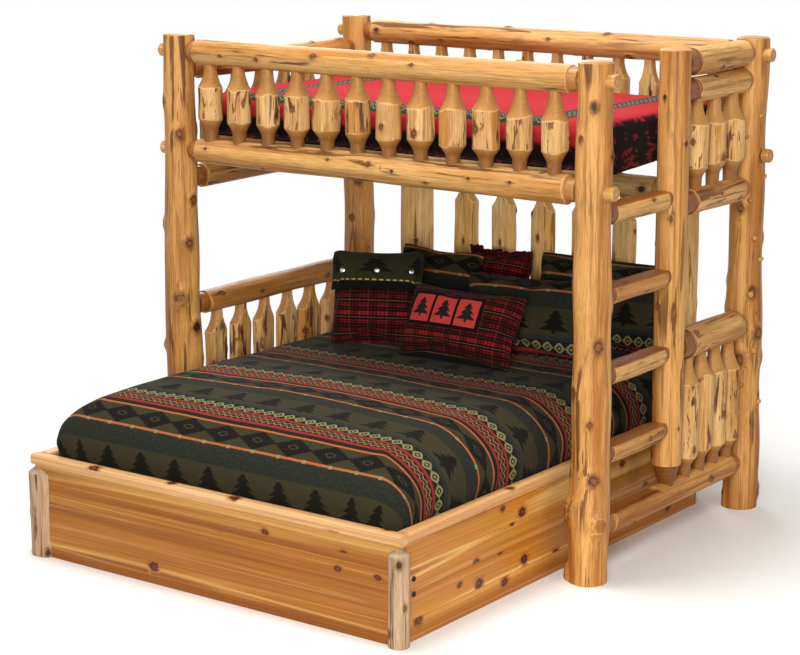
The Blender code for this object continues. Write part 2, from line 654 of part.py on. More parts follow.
def build_upper_deck(rails):
    """Ledgers let into the lower side rails, with the deck board on them."""
    top = UPPER_LEDGER_TOP
    length = HALF_X - POST_BASE_RADIUS - DECK_EDGE_GAP
    sides = (("front", 0.0, 1, "front_lower_rail"), ("back", POST_SPAN_Y, -1, "back_lower_rail_and_spindles"))
    for side, y, inward, rail in sides:
        outer = y + inward * (SIDE_RAIL_RADIUS - UPPER_LEDGER_REBATE)
        inner = outer + inward * UPPER_LEDGER_WIDTH
        low = Vector((-length, min(outer, inner), top - UPPER_LEDGER_HEIGHT))
        high = Vector((length, max(outer, inner), top))
        gap = Vector((FIT, FIT, FIT))
        rebate = box_mesh(f"{side}_ledger_rebate", low - gap, high + gap)
        board(f"{side}_ledger", low, high, DECK_WOOD)
        boolean(rails[rail], cutter(f"{side}_ledger_rebate", rebate), "DIFFERENCE")
    edge = SIDE_RAIL_RADIUS + DECK_EDGE_GAP
    low = (-length, edge, UPPER_DECK_Z - UPPER_DECK_THICKNESS)
    high = (length, POST_SPAN_Y - edge, UPPER_DECK_Z)
    board("upper_deck", low, high, DECK_WOOD)


def build_platform():
    left, right, foot = PLATFORM_LEFT_X, PLATFORM_RIGHT_X, PLATFORM_FOOT_Y
    inner_foot = foot + PANEL_THICKNESS + FIT
    head = HEAD_PANEL_Y - FIT
    for name, y in (("foot_panel", foot), ("head_panel", HEAD_PANEL_Y)):
        board(name, (left, y, 0), (right, y + PANEL_THICKNESS, PANEL_HEIGHT), CEDAR_BOARD)
    cleat_top = LOWER_DECK_Z - LOWER_DECK_THICKNESS - FIT
    for side, outer, inward in (("left", left, 1), ("right", right, -1)):
        inner = outer + inward * PANEL_THICKNESS
        low = (min(outer, inner), inner_foot, 0)
        high = (max(outer, inner), head, PANEL_HEIGHT)
        panel = board(f"{side}_panel", low, high, CEDAR_BOARD)
        near, far = inner - inward * CLEAT_BITE, inner + inward * CLEAT_SIZE
        low = Vector((min(near, far), inner_foot + CLEAT_SIZE, cleat_top - CLEAT_SIZE))
        high = Vector((max(near, far), head - CLEAT_SIZE, cleat_top))
        boolean(panel, cutter(f"{side}_cleat", box_mesh(f"{side}_cleat", low, high)), "UNION")
    build_caps(left, right, foot)
    low = (left + PANEL_THICKNESS + DECK_EDGE_GAP, inner_foot + DECK_EDGE_GAP,
           LOWER_DECK_Z - LOWER_DECK_THICKNESS)
    high = (right - PANEL_THICKNESS - DECK_EDGE_GAP, head - DECK_EDGE_GAP, LOWER_DECK_Z)
    board("lower_deck", low, high, DECK_WOOD)
    build_corner_post("foot_left_corner_post", left, 1, foot, LEFT_CORNER_POST_RADIUS, LEFT_CORNER_POST_REACH)
    build_corner_post("foot_right_corner_post", right, -1, foot, RIGHT_CORNER_POST_RADIUS, CORNER_POST_DEPTH)


def build_caps(left, right, foot):
    """Moulded caps along the foot and the two sides, proud of the panels outside."""
    base = PANEL_HEIGHT + FIT
    top = base + CAP_HEIGHT
    outer = foot - CAP_OVERHANG
    board("foot_cap", (left - CAP_OVERHANG, outer, base), (right + CAP_OVERHANG, outer + CAP_WIDTH, top),
          CEDAR_BOARD, CAP_BEVEL)
    start = outer + CAP_WIDTH + FIT
    end = HEAD_PANEL_Y + PANEL_THICKNESS
    for side, edge, inward in (("left", left - CAP_OVERHANG, 1), ("right", right + CAP_OVERHANG, -1)):
        inner = edge + inward * CAP_WIDTH
        low = (min(edge, inner), start, base)
        high = (max(edge, inner), end, top)
        board(f"{side}_cap", low, high, CEDAR_BOARD, CAP_BEVEL)


def build_corner_post(name, edge, inward, foot, radius, reach):
    """A log round a corner of the platform, notched over its panels, with its top sloped back."""
    x = edge + inward * (radius - reach - FIT)
    heart = foot + radius - CORNER_POST_DEPTH - FIT
    stations = [
        (Vector((x, heart, 0)), radius),
        (Vector((x, heart, CORNER_POST_HEIGHT - CORNER_POST_CHAMFER)), radius),
        (Vector((x, heart, CORNER_POST_HEIGHT)), radius - CORNER_POST_CHAMFER),
    ]
    part = place(name, tube_mesh(name, stations, POST_SIDES_RESOLUTION), PEELED_WHITE)
    near, far = edge - inward * FIT, edge + inward * 2 * radius
    low = Vector((min(near, far), foot - FIT, -CORNER_POST_DEPTH))
    high = Vector((max(near, far), foot + 2 * radius, CORNER_POST_HEIGHT + CORNER_POST_DEPTH))
    boolean(part, cutter(f"{name}_notch", box_mesh(f"{name}_notch", low, high)), "DIFFERENCE")
    return part


def build_headboard():
    """Two posts with a top rail and a low rail, and slabs glued into the low rail."""
    heads = {}
    for side, x, seed in (("left", HEADBOARD_LEFT_X, 11), ("right", HEADBOARD_RIGHT_X, 12)):
        name = f"headboard_{side}_post"
        stations = []
        for step in range(POST_STATIONS):
            share = step / (POST_STATIONS - 1)
            factor = 1.0 if step == 0 else swell(seed, share)
            height = share * (HEADBOARD_HEIGHT - POST_TOP_CHAMFER)
            stations.append((Vector((x, HEADBOARD_Y, height)), HEADBOARD_POST_RADIUS * factor))
        tip = Vector((x, HEADBOARD_Y, HEADBOARD_HEIGHT))
        stations.append((tip, HEADBOARD_POST_RADIUS - POST_TOP_CHAMFER))
        heads[name] = place(name, tube_mesh(name, stations, RAIL_SIDES_RESOLUTION), PALE_LOG)
        back = HEAD_PANEL_Y + PANEL_THICKNESS
        low = Vector((x - 2 * HEADBOARD_POST_RADIUS, back - PANEL_THICKNESS, -CAP_HEIGHT))
        high = Vector((x + 2 * HEADBOARD_POST_RADIUS, back + FIT, PANEL_HEIGHT + CAP_HEIGHT + 2 * FIT))
        boolean(heads[name], cutter(f"{name}_flat", box_mesh(f"{name}_flat", low, high)), "DIFFERENCE")
    rails = {}
    plan = (
        ("headboard_top_rail", HEADBOARD_TOP_RAIL_Z),
        ("headboard_low_rail_and_slabs", HEADBOARD_LOW_RAIL_Z),
    )
    for seed, (name, height) in enumerate(plan):
        ends = [Vector((x, HEADBOARD_Y, height)) for x in (HEADBOARD_LEFT_X, HEADBOARD_RIGHT_X)]
        faces = (HEADBOARD_POST_RADIUS, HEADBOARD_POST_RADIUS)
        mesh = rail_between(name, ends, tuple(heads), faces, False, HEADBOARD_RAIL_RADIUS, seed + 31)
        rails[name] = place(name, mesh, PALE_LOG)
    middle = Vector(((HEADBOARD_LEFT_X + HEADBOARD_RIGHT_X) / 2, HEADBOARD_Y, 0))
    feet = row(middle, AXIS_X, SLAB_COUNT, SLAB_PITCH)
    faces = ("headboard_top_rail", HEADBOARD_TOP_RAIL_Z - HEADBOARD_RAIL_RADIUS,
             HEADBOARD_LOW_RAIL_Z + HEADBOARD_RAIL_RADIUS)
    meshes = spindle_row("headboard_slab", feet, faces, SLAB_WIDTH, AXIS_Y, SLAB_FLAT_BACK)
    slabs = cutter("headboard_slab_row", joined("headboard_slab_row", meshes))
    boolean(rails["headboard_low_rail_and_slabs"], slabs, "UNION")
    return [*heads.values(), rails["headboard_top_rail"]]


# Soft pieces


def grid_block(cuts, flat_sides):
    """A unit block from -1 to 1 with its faces cut into a grid."""
    form = bmesh.new()
    bmesh.ops.create_cube(form, size=2.0)
    edges = form.edges[:]
    if flat_sides:
        edges = [edge for edge in edges if abs(edge.verts[0].co.z - edge.verts[1].co.z) < 1.0]
    bmesh.ops.subdivide_edges(form, edges=edges, cuts=cuts, use_grid_fill=True)
    return form


def mattress(name, low, high, crown, soft_edge, colour):
    """A mattress under its tucked cover: crowned on top, sides drawn in, round edges."""
    form = grid_block(SOFT_CUTS, False)
    middle, half = (low + high) / 2, (high - low) / 2
    for vert in form.verts:
        u, v, w = vert.co
        share = (v + 1) / 2
        bump = 0.0
        if w > 0.999 and share < CROWN_REACH:
            bump = crown * (1 - u * u) * math.sin(math.pi * share / CROWN_REACH) ** 2
        draw_u = SOFT_DRAW * (1 - v * v) * (1 - w * w)
        draw_v = SOFT_DRAW * (1 - u * u) * (1 - w * w)
        vert.co.x = middle.x + u * (half.x - draw_u)
        vert.co.y = middle.y + v * (half.y - draw_v)
        vert.co.z = middle.z + w * half.z + bump
    mesh = bpy.data.meshes.new(name)
    form.to_mesh(mesh)
    form.free()
    part = place(name, mesh, colour)
    edge = part.modifiers.new("soft_edges", "BEVEL")
    edge.width = soft_edge
    edge.segments = SOFT_EDGE_SEGMENTS
    edge.limit_method = "ANGLE"
    edge.angle_limit = SOFT_EDGE_ANGLE
    return part


def pillow(name, x, reach, width, height, thickness, lean, turn, colour):
    """A stuffed pillow leaning back on its lower edge: crowned, pinched between its corners."""
    form = grid_block(PILLOW_CUTS, True)
    for vert in form.verts:
        u, v, w = vert.co
        fullness = max((1 - u * u) * (1 - v * v), 0.0) ** PILLOW_FULLNESS
        vert.co.x = u * width / 2 * (1 - PILLOW_PINCH * (1 - v * v))
        vert.co.y = (1 + v * (1 - PILLOW_PINCH * (1 - u * u))) * height / 2
        vert.co.z = w * (PILLOW_SEAM / 2 + (thickness - PILLOW_SEAM) / 2 * fullness)
    stand = Matrix.Rotation(math.radians(turn), 4, "Z") @ Matrix.Rotation(math.radians(90 - lean), 4, "X")
    bmesh.ops.transform(form, matrix=stand, verts=form.verts)
    lowest = min(vert.co.z for vert in form.verts)
    shift = Vector((PLATFORM_CENTRE_X + x, HEAD_PANEL_Y - reach, LOWER_MATTRESS_TOP + FIT - lowest))
    bmesh.ops.translate(form, vec=shift, verts=form.verts)
    mesh = bpy.data.meshes.new(name)
    form.to_mesh(mesh)
    form.free()
    mesh.shade_smooth()
    return place(name, mesh, colour)


def build_bedding():
    half = Vector((UPPER_MATTRESS_LENGTH / 2, UPPER_MATTRESS_WIDTH / 2, 0))
    middle = Vector((0, POST_SPAN_Y / 2, UPPER_DECK_Z + FIT))
    top = middle + half + AXIS_Z * UPPER_MATTRESS_HEIGHT
    mattress("upper_mattress", middle - half, top, UPPER_CROWN, UPPER_SOFT_EDGE, RED_BLANKET)
    start = PLATFORM_FOOT_Y + PANEL_THICKNESS + MATTRESS_END_GAP
    half_width = LOWER_MATTRESS_WIDTH / 2
    end = start + LOWER_MATTRESS_LENGTH
    low = Vector((PLATFORM_CENTRE_X - half_width, start, LOWER_DECK_Z + FIT))
    high = Vector((PLATFORM_CENTRE_X + half_width, end, LOWER_MATTRESS_TOP))
    mattress("lower_mattress", low, high, LOWER_CROWN, LOWER_SOFT_EDGE, OLIVE_SPREAD)
    plaid = ("pillow_back_middle", "pillow_buttoned", "pillow_lumbar")
    for name, shape in PILLOWS.items():
        pillow(name, *shape, DARK_PLAID if name in plaid else OLIVE_SPREAD)


def build():
    posts = [*build_posts(), build_ladder_post()]
    rails = {**build_side_rails(), **build_end_rails()}
    build_rungs()
    build_front_spindles()
    build_glued_rows(rails)
    flatten_floor_rail(rails["right_floor_rail_and_spindles"])
    build_upper_deck(rails)
    build_platform()
    headboard = build_headboard()
    build_bedding()
    for owner in [*posts, *rails.values(), *headboard]:
        if owner.name in MORTISES:
            cut_mortises(owner)


build()
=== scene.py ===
"""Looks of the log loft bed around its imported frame: peeled logs, split spindles, boards and bedding."""
import math
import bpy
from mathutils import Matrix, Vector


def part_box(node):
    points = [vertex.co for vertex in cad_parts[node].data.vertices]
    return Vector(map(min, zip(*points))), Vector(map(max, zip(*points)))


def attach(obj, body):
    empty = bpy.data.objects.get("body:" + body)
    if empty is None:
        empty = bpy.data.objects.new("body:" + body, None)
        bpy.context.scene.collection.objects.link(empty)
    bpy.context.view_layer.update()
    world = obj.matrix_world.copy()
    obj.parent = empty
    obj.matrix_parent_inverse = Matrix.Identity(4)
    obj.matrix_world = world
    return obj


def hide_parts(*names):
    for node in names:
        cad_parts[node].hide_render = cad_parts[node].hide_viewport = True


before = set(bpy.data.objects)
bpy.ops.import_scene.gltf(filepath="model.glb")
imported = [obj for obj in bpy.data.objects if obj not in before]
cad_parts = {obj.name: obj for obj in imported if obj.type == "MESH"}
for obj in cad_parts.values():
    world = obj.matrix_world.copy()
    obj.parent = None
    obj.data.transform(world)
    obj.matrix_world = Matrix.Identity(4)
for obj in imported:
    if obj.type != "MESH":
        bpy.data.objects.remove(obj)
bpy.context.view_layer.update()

import zlib

import bmesh
import bpy
import numpy as np
from mathutils import Matrix, Vector, noise

# Camera of the photograph
CAMERA_PLACE = (5.222, -7.037, 2.7756)
CAMERA_YAW = -0.6357
CAMERA_PITCH = 0.2179
CAMERA_ROLL = -0.0026
CAMERA_LENS = 99.72
CAMERA_SENSOR = 36.0
CAMERA_CLIP = 200.0

# Logs; sizes as in the solids, but the rails' shoulders close on the posts
POST_BASE_RADIUS = 0.078
POST_TOP_RADIUS = 0.065
LADDER_RADIUS = 0.061
SIDE_RAIL_RADIUS = 0.0525
END_RAIL_RADIUS = 0.05
RIGHT_TOP_RAIL_RADIUS = 0.0545
RIGHT_GUARD_RAIL_RADIUS = 0.0625
RUNG_RADIUS = 0.047
RUNG_FLAT = 0.027
TENON_RADIUS = 0.025
THROUGH_TENON_RADIUS = 0.028
SEAT_GAP = -0.004
DOME_LENGTH = 0.05
DOME_SHARE = 0.88
ROOT_SHARE = 0.76
NECK_SHARE = 0.58
LIP_LENGTH = 0.006
LONG_DOME = 0.062
SHORT_DOME = 0.036
EDGE_EASE = 0.005
EASE_SLOPE = 1.2
EASE_CLEAR = 0.03
TOP_RAIL_Z = 1.91
LOWER_RAIL_Z = 1.50
LEFT_TOP_RAIL_Z = 1.835
END_LOWER_RAIL_Z = 1.37
RIGHT_TOP_RAIL_Z = 1.922
RIGHT_SECOND_RAIL_Z = 1.8115
LEFT_GUARD_RAIL_Z = 0.82
RIGHT_GUARD_RAIL_Z = 0.797
FLOOR_RAIL_Z = 0.205
FLOOR_RAIL_FLAT = 0.036
RUNG_FIRST_Z = 0.485
RUNG_RISE = 0.308
RUNG_COUNT = 4
LADDER_FOOT_Z = 0.33
LADDER_FOOT_RADIUS = 0.03
LADDER_FOOT_FLARE = 0.024

# Spindles, as in the solids
SPINDLE_WIDTH = 0.108
SPINDLE_NECK_TOP = 0.025
SPINDLE_NECK_LOW = 0.029
SPINDLE_DROP = 0.095
SPINDLE_TAPER = 0.085
SPINDLE_TENON = 0.02
SPINDLE_BACK = 0.022
SLAB_WIDTH = 0.105
SLAB_BACK = 0.03
SLAB_COUNT = 5
SLAB_PITCH = 0.206
HEADBOARD_POST_SHARE = 0.985

# Number and pitch of the spindles of each row
SPINDLE_ROWS = {"side": (12, 0.153), "left": (6, 0.161), "right_end": (3, 0.145), "right_guard": (4, 0.115)}

# Platform bed
PANEL_THICKNESS = 0.038
PANEL_BOARDS = 4
CLEAT_SIZE = 0.04
BOARD_EASE = 0.0015
CAP_EASE = 0.01
BOARD_KNOTS = (0.009, 0.019)
CORNER_RADII = {"left": 0.065, "right": 0.04}
CORNER_CHAMFER = 0.024
BOLT_HEIGHTS = (0.231, 0.174)
BOLT_REACH = 0.085
BOLT_RADIUS = 0.0105
BOLT_RISE = 0.008

# Branch stubs
STUB_COUNT = 12
STUB_FIRST_Z = 0.42
STUB_RISE = 0.125
STUB_SIZES = (0.009, 0.013)
STUB_SINK = 0.014
STUB_REACH = 0.55

# Mesh steps
LOG_STEP = 0.0115
LOG_SIDES = 40
SPINDLE_STEP = 0.006
SPINDLE_SIDES = 30
BOARD_STEP = 0.022
KNOT_SPACING = 0.115
KNOT_REACH = 0.056
FAR = 1.0
KNOT_NONE = 0.01


def box_centre(node):
    low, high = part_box(node)
    return (low + high) / 2


FRONT_Y = box_centre("front_left_post").y
BACK_Y = box_centre("back_left_post").y
LEFT_X = box_centre("front_left_post").x
RIGHT_X = box_centre("front_right_post").x
LADDER_Y = box_centre("ladder_post").y
POST_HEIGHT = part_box("front_left_post")[1].z


def dice(name):
    """Random numbers that belong to a piece by its name."""
    return np.random.default_rng(zlib.crc32(name.encode()))


def rgb(code):
    """A colour written as six hex digits, in linear light."""
    shares = [int(code[place:place + 2], 16) / 255 for place in (0, 2, 4)]
    linear = [s / 12.92 if s <= 0.04045 else ((s + 0.055) / 1.055) ** 2.4 for s in shares]
    return (*linear, 1.0)


# Materials


class Wire:
    """A shader node's output, which sums, scales and compares like a number."""

    def __init__(self, nodes, socket):
        self.nodes = nodes
        self.socket = socket

    def __add__(self, other):
        return self.nodes.math("ADD", self, other)

    def __sub__(self, other):
        return self.nodes.math("SUBTRACT", self, other)

    def __rsub__(self, other):
        return self.nodes.math("SUBTRACT", other, self)

    def __mul__(self, other):
        return self.nodes.math("MULTIPLY", self, other)

    def __truediv__(self, other):
        return self.nodes.math("DIVIDE", self, other)

    def __lt__(self, other):
        return self.nodes.math("LESS_THAN", self, other)

    def __gt__(self, other):
        return self.nodes.math("GREATER_THAN", self, other)

    def __or__(self, other):
        return self.nodes.math("MAXIMUM", self, other)

    def __abs__(self):
        return self.nodes.math("ABSOLUTE", self)

    def between(self, low, high):
        return (self > low) * (self < high)


class Nodes:
    """A node tree that is written as expressions."""

    def __init__(self, tree):
        self.tree = tree

    def put(self, socket, value):
        if isinstance(value, Wire):
            self.tree.links.new(value.socket, socket)
        else:
            socket.default_value = value

    def node(self, kind, values=(), out=0, **settings):
        made = self.tree.nodes.new("ShaderNode" + kind)
        for key, value in settings.items():
            setattr(made, key, value)
        pairs = values.items() if isinstance(values, dict) else enumerate(values)
        for key, value in pairs:
            self.put(made.inputs[key], value)
        return Wire(self, made.outputs[out])

    def math(self, operation, *values, clamp=False):
        return self.node("Math", values, operation=operation, use_clamp=clamp)

    def vector(self, operation, *values, out=0):
        return self.node("VectorMath", values, out=out, operation=operation)

    def split(self, vector):
        made = self.tree.nodes.new("ShaderNodeSeparateXYZ")
        self.put(made.inputs[0], vector)
        return [Wire(self, socket) for socket in made.outputs]

    def join(self, x, y, z=0.0):
        return self.node("CombineXYZ", (x, y, z))

    def length(self, x, y):
        return self.vector("LENGTH", self.join(x, y), out="Value")

    def attribute(self, name):
        return self.node("Attribute", out="Vector", attribute_name=name)

    def noise(self, vector, scale, detail=2.0, rough=0.5, twist=0.0):
        values = {"Vector": self.vector("MULTIPLY", vector, scale), "Scale": 1.0}
        values.update({"Detail": detail, "Roughness": rough, "Distortion": twist})
        return self.node("TexNoise", values)

    def step(self, value, low, high, first=0.0, last=1.0):
        """A smooth step from first at low to last at high."""
        values = {"Value": value, "From Min": low, "From Max": high, "To Min": first, "To Max": last}
        return self.node("MapRange", values, interpolation_type="SMOOTHSTEP")

    def ramp(self, value, stops, interpolation="LINEAR"):
        made = self.tree.nodes.new("ShaderNodeValToRGB")
        self.put(made.inputs[0], value)
        line = made.color_ramp
        line.interpolation = interpolation
        while len(line.elements) < len(stops):
            line.elements.new(1.0)
        for element, (place, colour) in zip(line.elements, stops):
            element.position = place
            element.color = rgb(colour)
        return Wire(self, made.outputs[0])

    def mix(self, share, first, second, blend="MIX"):
        tints = [rgb(tint) if isinstance(tint, str) else tint for tint in (first, second)]
        values = {0: share, 6: tints[0], 7: tints[1]}
        return self.node("Mix", values, out=2, data_type="RGBA", blend_type=blend)


class Shader(Nodes):
    """A material's nodes."""

    def __init__(self, name):
        self.material = bpy.data.materials.new(name)
        self.material.use_nodes = True
        super().__init__(self.material.node_tree)
        self.surface = self.tree.nodes["Principled BSDF"]

    def bump(self, height, distance, strength=1.0):
        values = {"Strength": strength, "Distance": distance, "Height": height}
        self.put(self.surface.inputs["Normal"], self.node("Bump", values))

    def done(self, colour, roughness, **sockets):
        self.put(self.surface.inputs["Base Color"], colour)
        self.put(self.surface.inputs["Roughness"], roughness)
        for name, value in sockets.items():
            self.put(self.surface.inputs[name.replace("_", " ")], value)
        return self.material


def bell(value, middle, sharpness):
    """A soft ridge of height 1 where value is middle."""
    off = value - middle
    return value.nodes.math("EXPONENT", off * off * -sharpness)


def knot_field(s, grain, uneven):
    """Distance from the nearest knot in knot sizes, the streak through it, its chance, and bent grain."""
    across, along, size = s.split(s.attribute("knot"))
    ragged = s.noise(grain, (60, 60, 45), 3, 0.65) * uneven - uneven / 2
    reach = s.length(across, along * 0.8) / size + ragged
    chance = s.math("FRACT", size * 4721.0)
    tail = s.step(abs(across) / size, 1.0, 0.2) * s.step(abs(along), 0.04, 0.006)
    push = across * bell(reach, 0.0, 0.5) * 0.9
    return reach, tail, chance, s.vector("ADD", grain, s.join(push, push))


def peeled_skin(s, grain, streak, fibre, tints, bark, burnt, stain, patch):
    """Colour and relief of peeled wood: streaks, pale patches that are partly painted highlights, strips of
    brown cambium, grey smudges and drying cracks.
    """
    pale, mid, deep, brown = tints
    slow = s.noise(grain, (10, 10, 0.9), 2, 0.5)
    strips = s.noise(grain, (36, 36, patch), 3, 0.6, 0.6)
    light = s.noise(s.vector("ADD", grain, (7.3, 3.1, 5.7)), (27, 27, 1.3), 2, 0.5)
    line = s.noise(s.vector("ADD", grain, (1.7, 9.2, 3.3)), (150, 150, 2.6), 2, 0.5)
    colour = s.ramp(slow, ((0.36, mid), (0.62, pale)))
    # Pale patches at random, partly the peeled wood's pale places and partly painted highlights
    colour = s.mix(s.step(light, 0.54, 0.66) * 0.65, colour, pale)
    colour = s.mix(s.step(streak, 0.50, 0.66) * 0.5, colour, deep)
    colour = s.mix(s.step(line, 0.58, 0.68) * 0.25, colour, brown)
    left_on = s.step(s.noise(grain, (8, 8, 1.5), 1), 0.62 - 0.2 * bark, 0.68 - 0.2 * bark)
    strip = s.step(strips, 0.55, 0.58) * left_on
    colour = s.mix(strip * 0.8, colour, brown)
    colour = s.mix(s.step(strips, 0.61, 0.64) * left_on * burnt, colour, SCORCHED)
    smudge = s.step(s.noise(grain, (17, 17, 3.2), 3, 0.6), 0.64, 0.70) * s.step(fibre, 0.42, 0.60)
    colour = s.mix(smudge * stain, colour, SMUDGE)
    crack = s.step(abs(s.noise(grain, (30, 30, 0.8), 2) - 0.5), 0.010, 0.003)
    crack = crack * s.step(s.noise(grain, (5, 5, 2.2), 1), 0.58, 0.66)
    colour = s.mix(crack * 0.75, colour, CRACK)
    return colour, fibre * 0.25 + streak * 0.6 + strip * 0.4 - crack * 0.9


def tooled_ends(s, colour, grain, streak, tints, turned, rings):
    """The colour with turned shoulders, pegs, sawn treads and end grain, by the marks of the cutters, with a
    painted highlight along each cut's edge.
    """
    pale, mid, deep, brown = tints
    cut, end, sawn = s.split(s.attribute("cut"))
    across, up, _ = s.split(s.attribute("heart"))
    ring = s.math("SINE", s.length(across, up) * 1300.0 + streak * 10.0)
    tool = s.mix(ring * rings + rings, turned, pale)
    tool = s.mix(s.step(cut, 1.0, 1.9) * 0.6, tool, brown)
    tooled = s.step(cut, 0.35, 0.8)
    colour = s.mix(tooled, colour, tool)
    # A pale line along the edge of each cut: painted highlight
    rim = s.step(cut, 0.02, 0.3) * s.step(cut, 0.95, 0.5)
    colour = s.mix(rim * 0.8, colour, pale)
    colour = s.mix(s.step(cut, 2.2, 2.8), colour, s.mix(s.step(streak, 0.4, 0.65), pale, mid))
    tread = s.ramp(s.noise(grain, (28, 28, 1.0), 3, 0.55), ((0.3, deep), (0.52, turned), (0.72, mid)))
    colour = s.mix(sawn, colour, tread)
    colour = s.mix(end, colour, s.mix(ring * 0.2 + 0.4, pale, turned))
    return colour, tooled, s.math("SUBTRACT", 1.0, end | cut, clamp=True)


def wood(name, *tints, bark=0.5, burnt=0.0, stain=0.6, rings=0.1, roughness=0.5, patch=2.3):
    """Peeled wood in pale, mid, deep, brown and turned tints, with knots and turned ends.

    bark is the share of the skin where cambium is left, burnt how dark its hearts are, stain how grey its
    smudges, rings how clearly growth rings show on the turned ends and patch how short the strips are.
    """
    *natural, turned = tints
    brown = natural[3]
    s = Shader(name)
    reach, tail, chance, grain = knot_field(s, s.attribute("grain"), 1.7)
    streak = s.noise(grain, (64, 64, 1.5), 3, 0.6, 0.2)
    fibre = s.noise(grain, (430, 430, 15), 2)
    colour, relief = peeled_skin(s, grain, streak, fibre, natural, bark, burnt, stain, patch)
    colour, tooled, whole = tooled_ends(s, colour, grain, streak, natural, turned, rings)
    colour = s.mix(tail * whole * 0.55, colour, brown)
    colour = s.mix(s.step(reach, 2.3, 0.8) * whole * 0.7, colour, brown)
    heart = s.mix(chance < 0.3, *KNOT_HEARTS)
    heart = s.mix(s.step(reach, 0.5, 0.85), heart, KNOT_RIM)
    core = s.step(reach, 1.15, 0.8) * whole
    colour = s.mix(core, colour, heart)
    colour = s.mix(1.0, colour, s.ramp(fibre, ((0.28, "D2CABF"), (0.58, "FFFFFF"))), "MULTIPLY")
    relief = relief + bell(reach, 1.5, 5.0) * whole * 1.2 - core * 0.5
    s.bump(relief + tooled * (0.3 - relief), 0.003, 0.6)
    shine = tooled * -0.16 + roughness
    return s.done(colour, shine, Specular_IOR_Level=0.25, Coat_Weight=0.05, Coat_Roughness=0.3)


def board_wood(name, sap, light, heart, deep, roughness):
    """Planed cedar: broad bands of heartwood with pale sapwood streaks, fine lines and reddish knots."""
    s = Shader(name)
    reach, tail, _, grain = knot_field(s, s.attribute("grain"), 1.6)
    broad = s.noise(grain, (8, 8, 0.25), 1, 0.4)
    thin = s.noise(s.vector("ADD", grain, (4.4, 8.1, 2.6)), (30, 30, 0.35), 1, 0.4)
    line = s.noise(grain, (56, 56, 0.6), 2, 0.5, 0.15)
    fine = s.noise(grain, (240, 240, 2.0), 2, 0.5)
    colour = s.ramp(broad, ((0.32, heart), (0.52, light), (0.60, light), (0.64, sap), (0.69, heart)))
    colour = s.mix(bell(thin, 0.63, 1500.0) * 0.4, colour, sap)
    colour = s.mix(s.step(line, 0.50, 0.72) * 0.22, colour, deep)
    colour = s.mix(s.step(line, 0.46, 0.34) * 0.12, colour, sap)
    colour = s.mix(tail * 0.45, colour, deep)
    colour = s.mix(s.step(reach, 2.2, 0.8) * 0.75, colour, "8F4714")
    knot = s.ramp(reach * 0.9, ((0.0, "8A4412"), (0.35, "5E2A08"), (0.7, "451A04")))
    colour = s.mix(s.step(reach, 1.15, 0.85), colour, knot)
    colour = s.mix(1.0, colour, s.ramp(fine, ((0.3, "DED6CB"), (0.6, "FFFFFF"))), "MULTIPLY")
    s.bump(fine * 0.4 + line, 0.0006, 0.4)
    return s.done(colour, roughness, Specular_IOR_Level=0.25, Coat_Weight=0.06, Coat_Roughness=0.25)


def plain_material(name, colour, roughness, metallic=0.0):
    return Shader(name).done(rgb(colour), roughness, Metallic=metallic)


SCORCHED, SMUDGE, CRACK = "4E2A10", "6A5636", "4A2A10"
KNOT_HEARTS, KNOT_RIM = ("8A5222", "3C200D"), "4A2810"

# Pale, mid, deep, brown and turned tint of each peeled wood, and how its skin is marked
PEELED = {
    "cedar_log": (("DCA25A", "A2631E", "7A3E0A", "542805", "985A20"), {}),
    "tan_log": (("DEAC6A", "B67A34", "8E5018", "62310C", "A0622A"), {"bark": 0.6, "burnt": 0.3}),
    "barky_log": (("E2B06A", "B87A34", "8C4C16", "66340E", "9C5E28"),
                  {"bark": 0.95, "burnt": 0.5, "stain": 0.7}),
    "split_cedar": (("E4B87A", "C68A42", "985A1A", "66330B", "BC8442"),
                    {"bark": 0.95, "burnt": 0.85, "stain": 0.3, "rings": 0.03, "roughness": 0.58,
                     "patch": 6.5}),
    "pale_log": (("FFDA98", "F2BC66", "CE8E3A", "925A1C", "DCA858"),
                 {"bark": 0.55, "burnt": 0.5, "stain": 0.5, "rings": 0.05, "roughness": 0.55}),
    "peeled_white": (("C0A282", "A6825C", "885E38", "6A4020", "BAA080"),
                     {"bark": 0.9, "burnt": 0.3, "stain": 0.2, "rings": 0.05, "roughness": 0.6}),
}

# Sapwood, light, heartwood and deep tint of each planed wood, and its roughness
PLANED = {
    "cedar_board": ("E2B266", "BE7C26", "A86412", "8A4804", 0.38),
    # A darker copy of cedar_board, for the foot and head panels: painted shade
    "end_board_painted_shade": ("CC9A50", "A4661C", "8E500C", "723804", 0.38),
    "cap_board": ("EBC898", "DBA86F", "C98F52", "AE723A", 0.34),
    "deck_wood": ("CDB184", "B99764", "A38050", "8A683C", 0.6),
}
WOODS = {name: wood(name, *tints, **marks) for name, (tints, marks) in PEELED.items()}
WOODS.update({name: board_wood(name, *tints) for name, tints in PLANED.items()})
BLACK_BOLT = plain_material("black_bolt", "17181A", 0.45, 0.6)
PEWTER = plain_material("pewter", "C9C7C0", 0.32, 1.0)


# Pieces


def placed(name, mesh, body, nodes, material):
    """An object of a mesh, which rides on a body, stands for nodes and takes a material."""
    mesh.materials.append(material)
    made = bpy.data.objects.new(name, mesh)
    bpy.context.scene.collection.objects.link(made)
    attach(made, body)
    if nodes:
        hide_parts(*nodes)
    return made


def smooth_mesh(name, form):
    """A smoothly shaded mesh of a finished form."""
    mesh = bpy.data.meshes.new(name)
    form.to_mesh(mesh)
    form.free()
    mesh.shade_smooth()
    return mesh


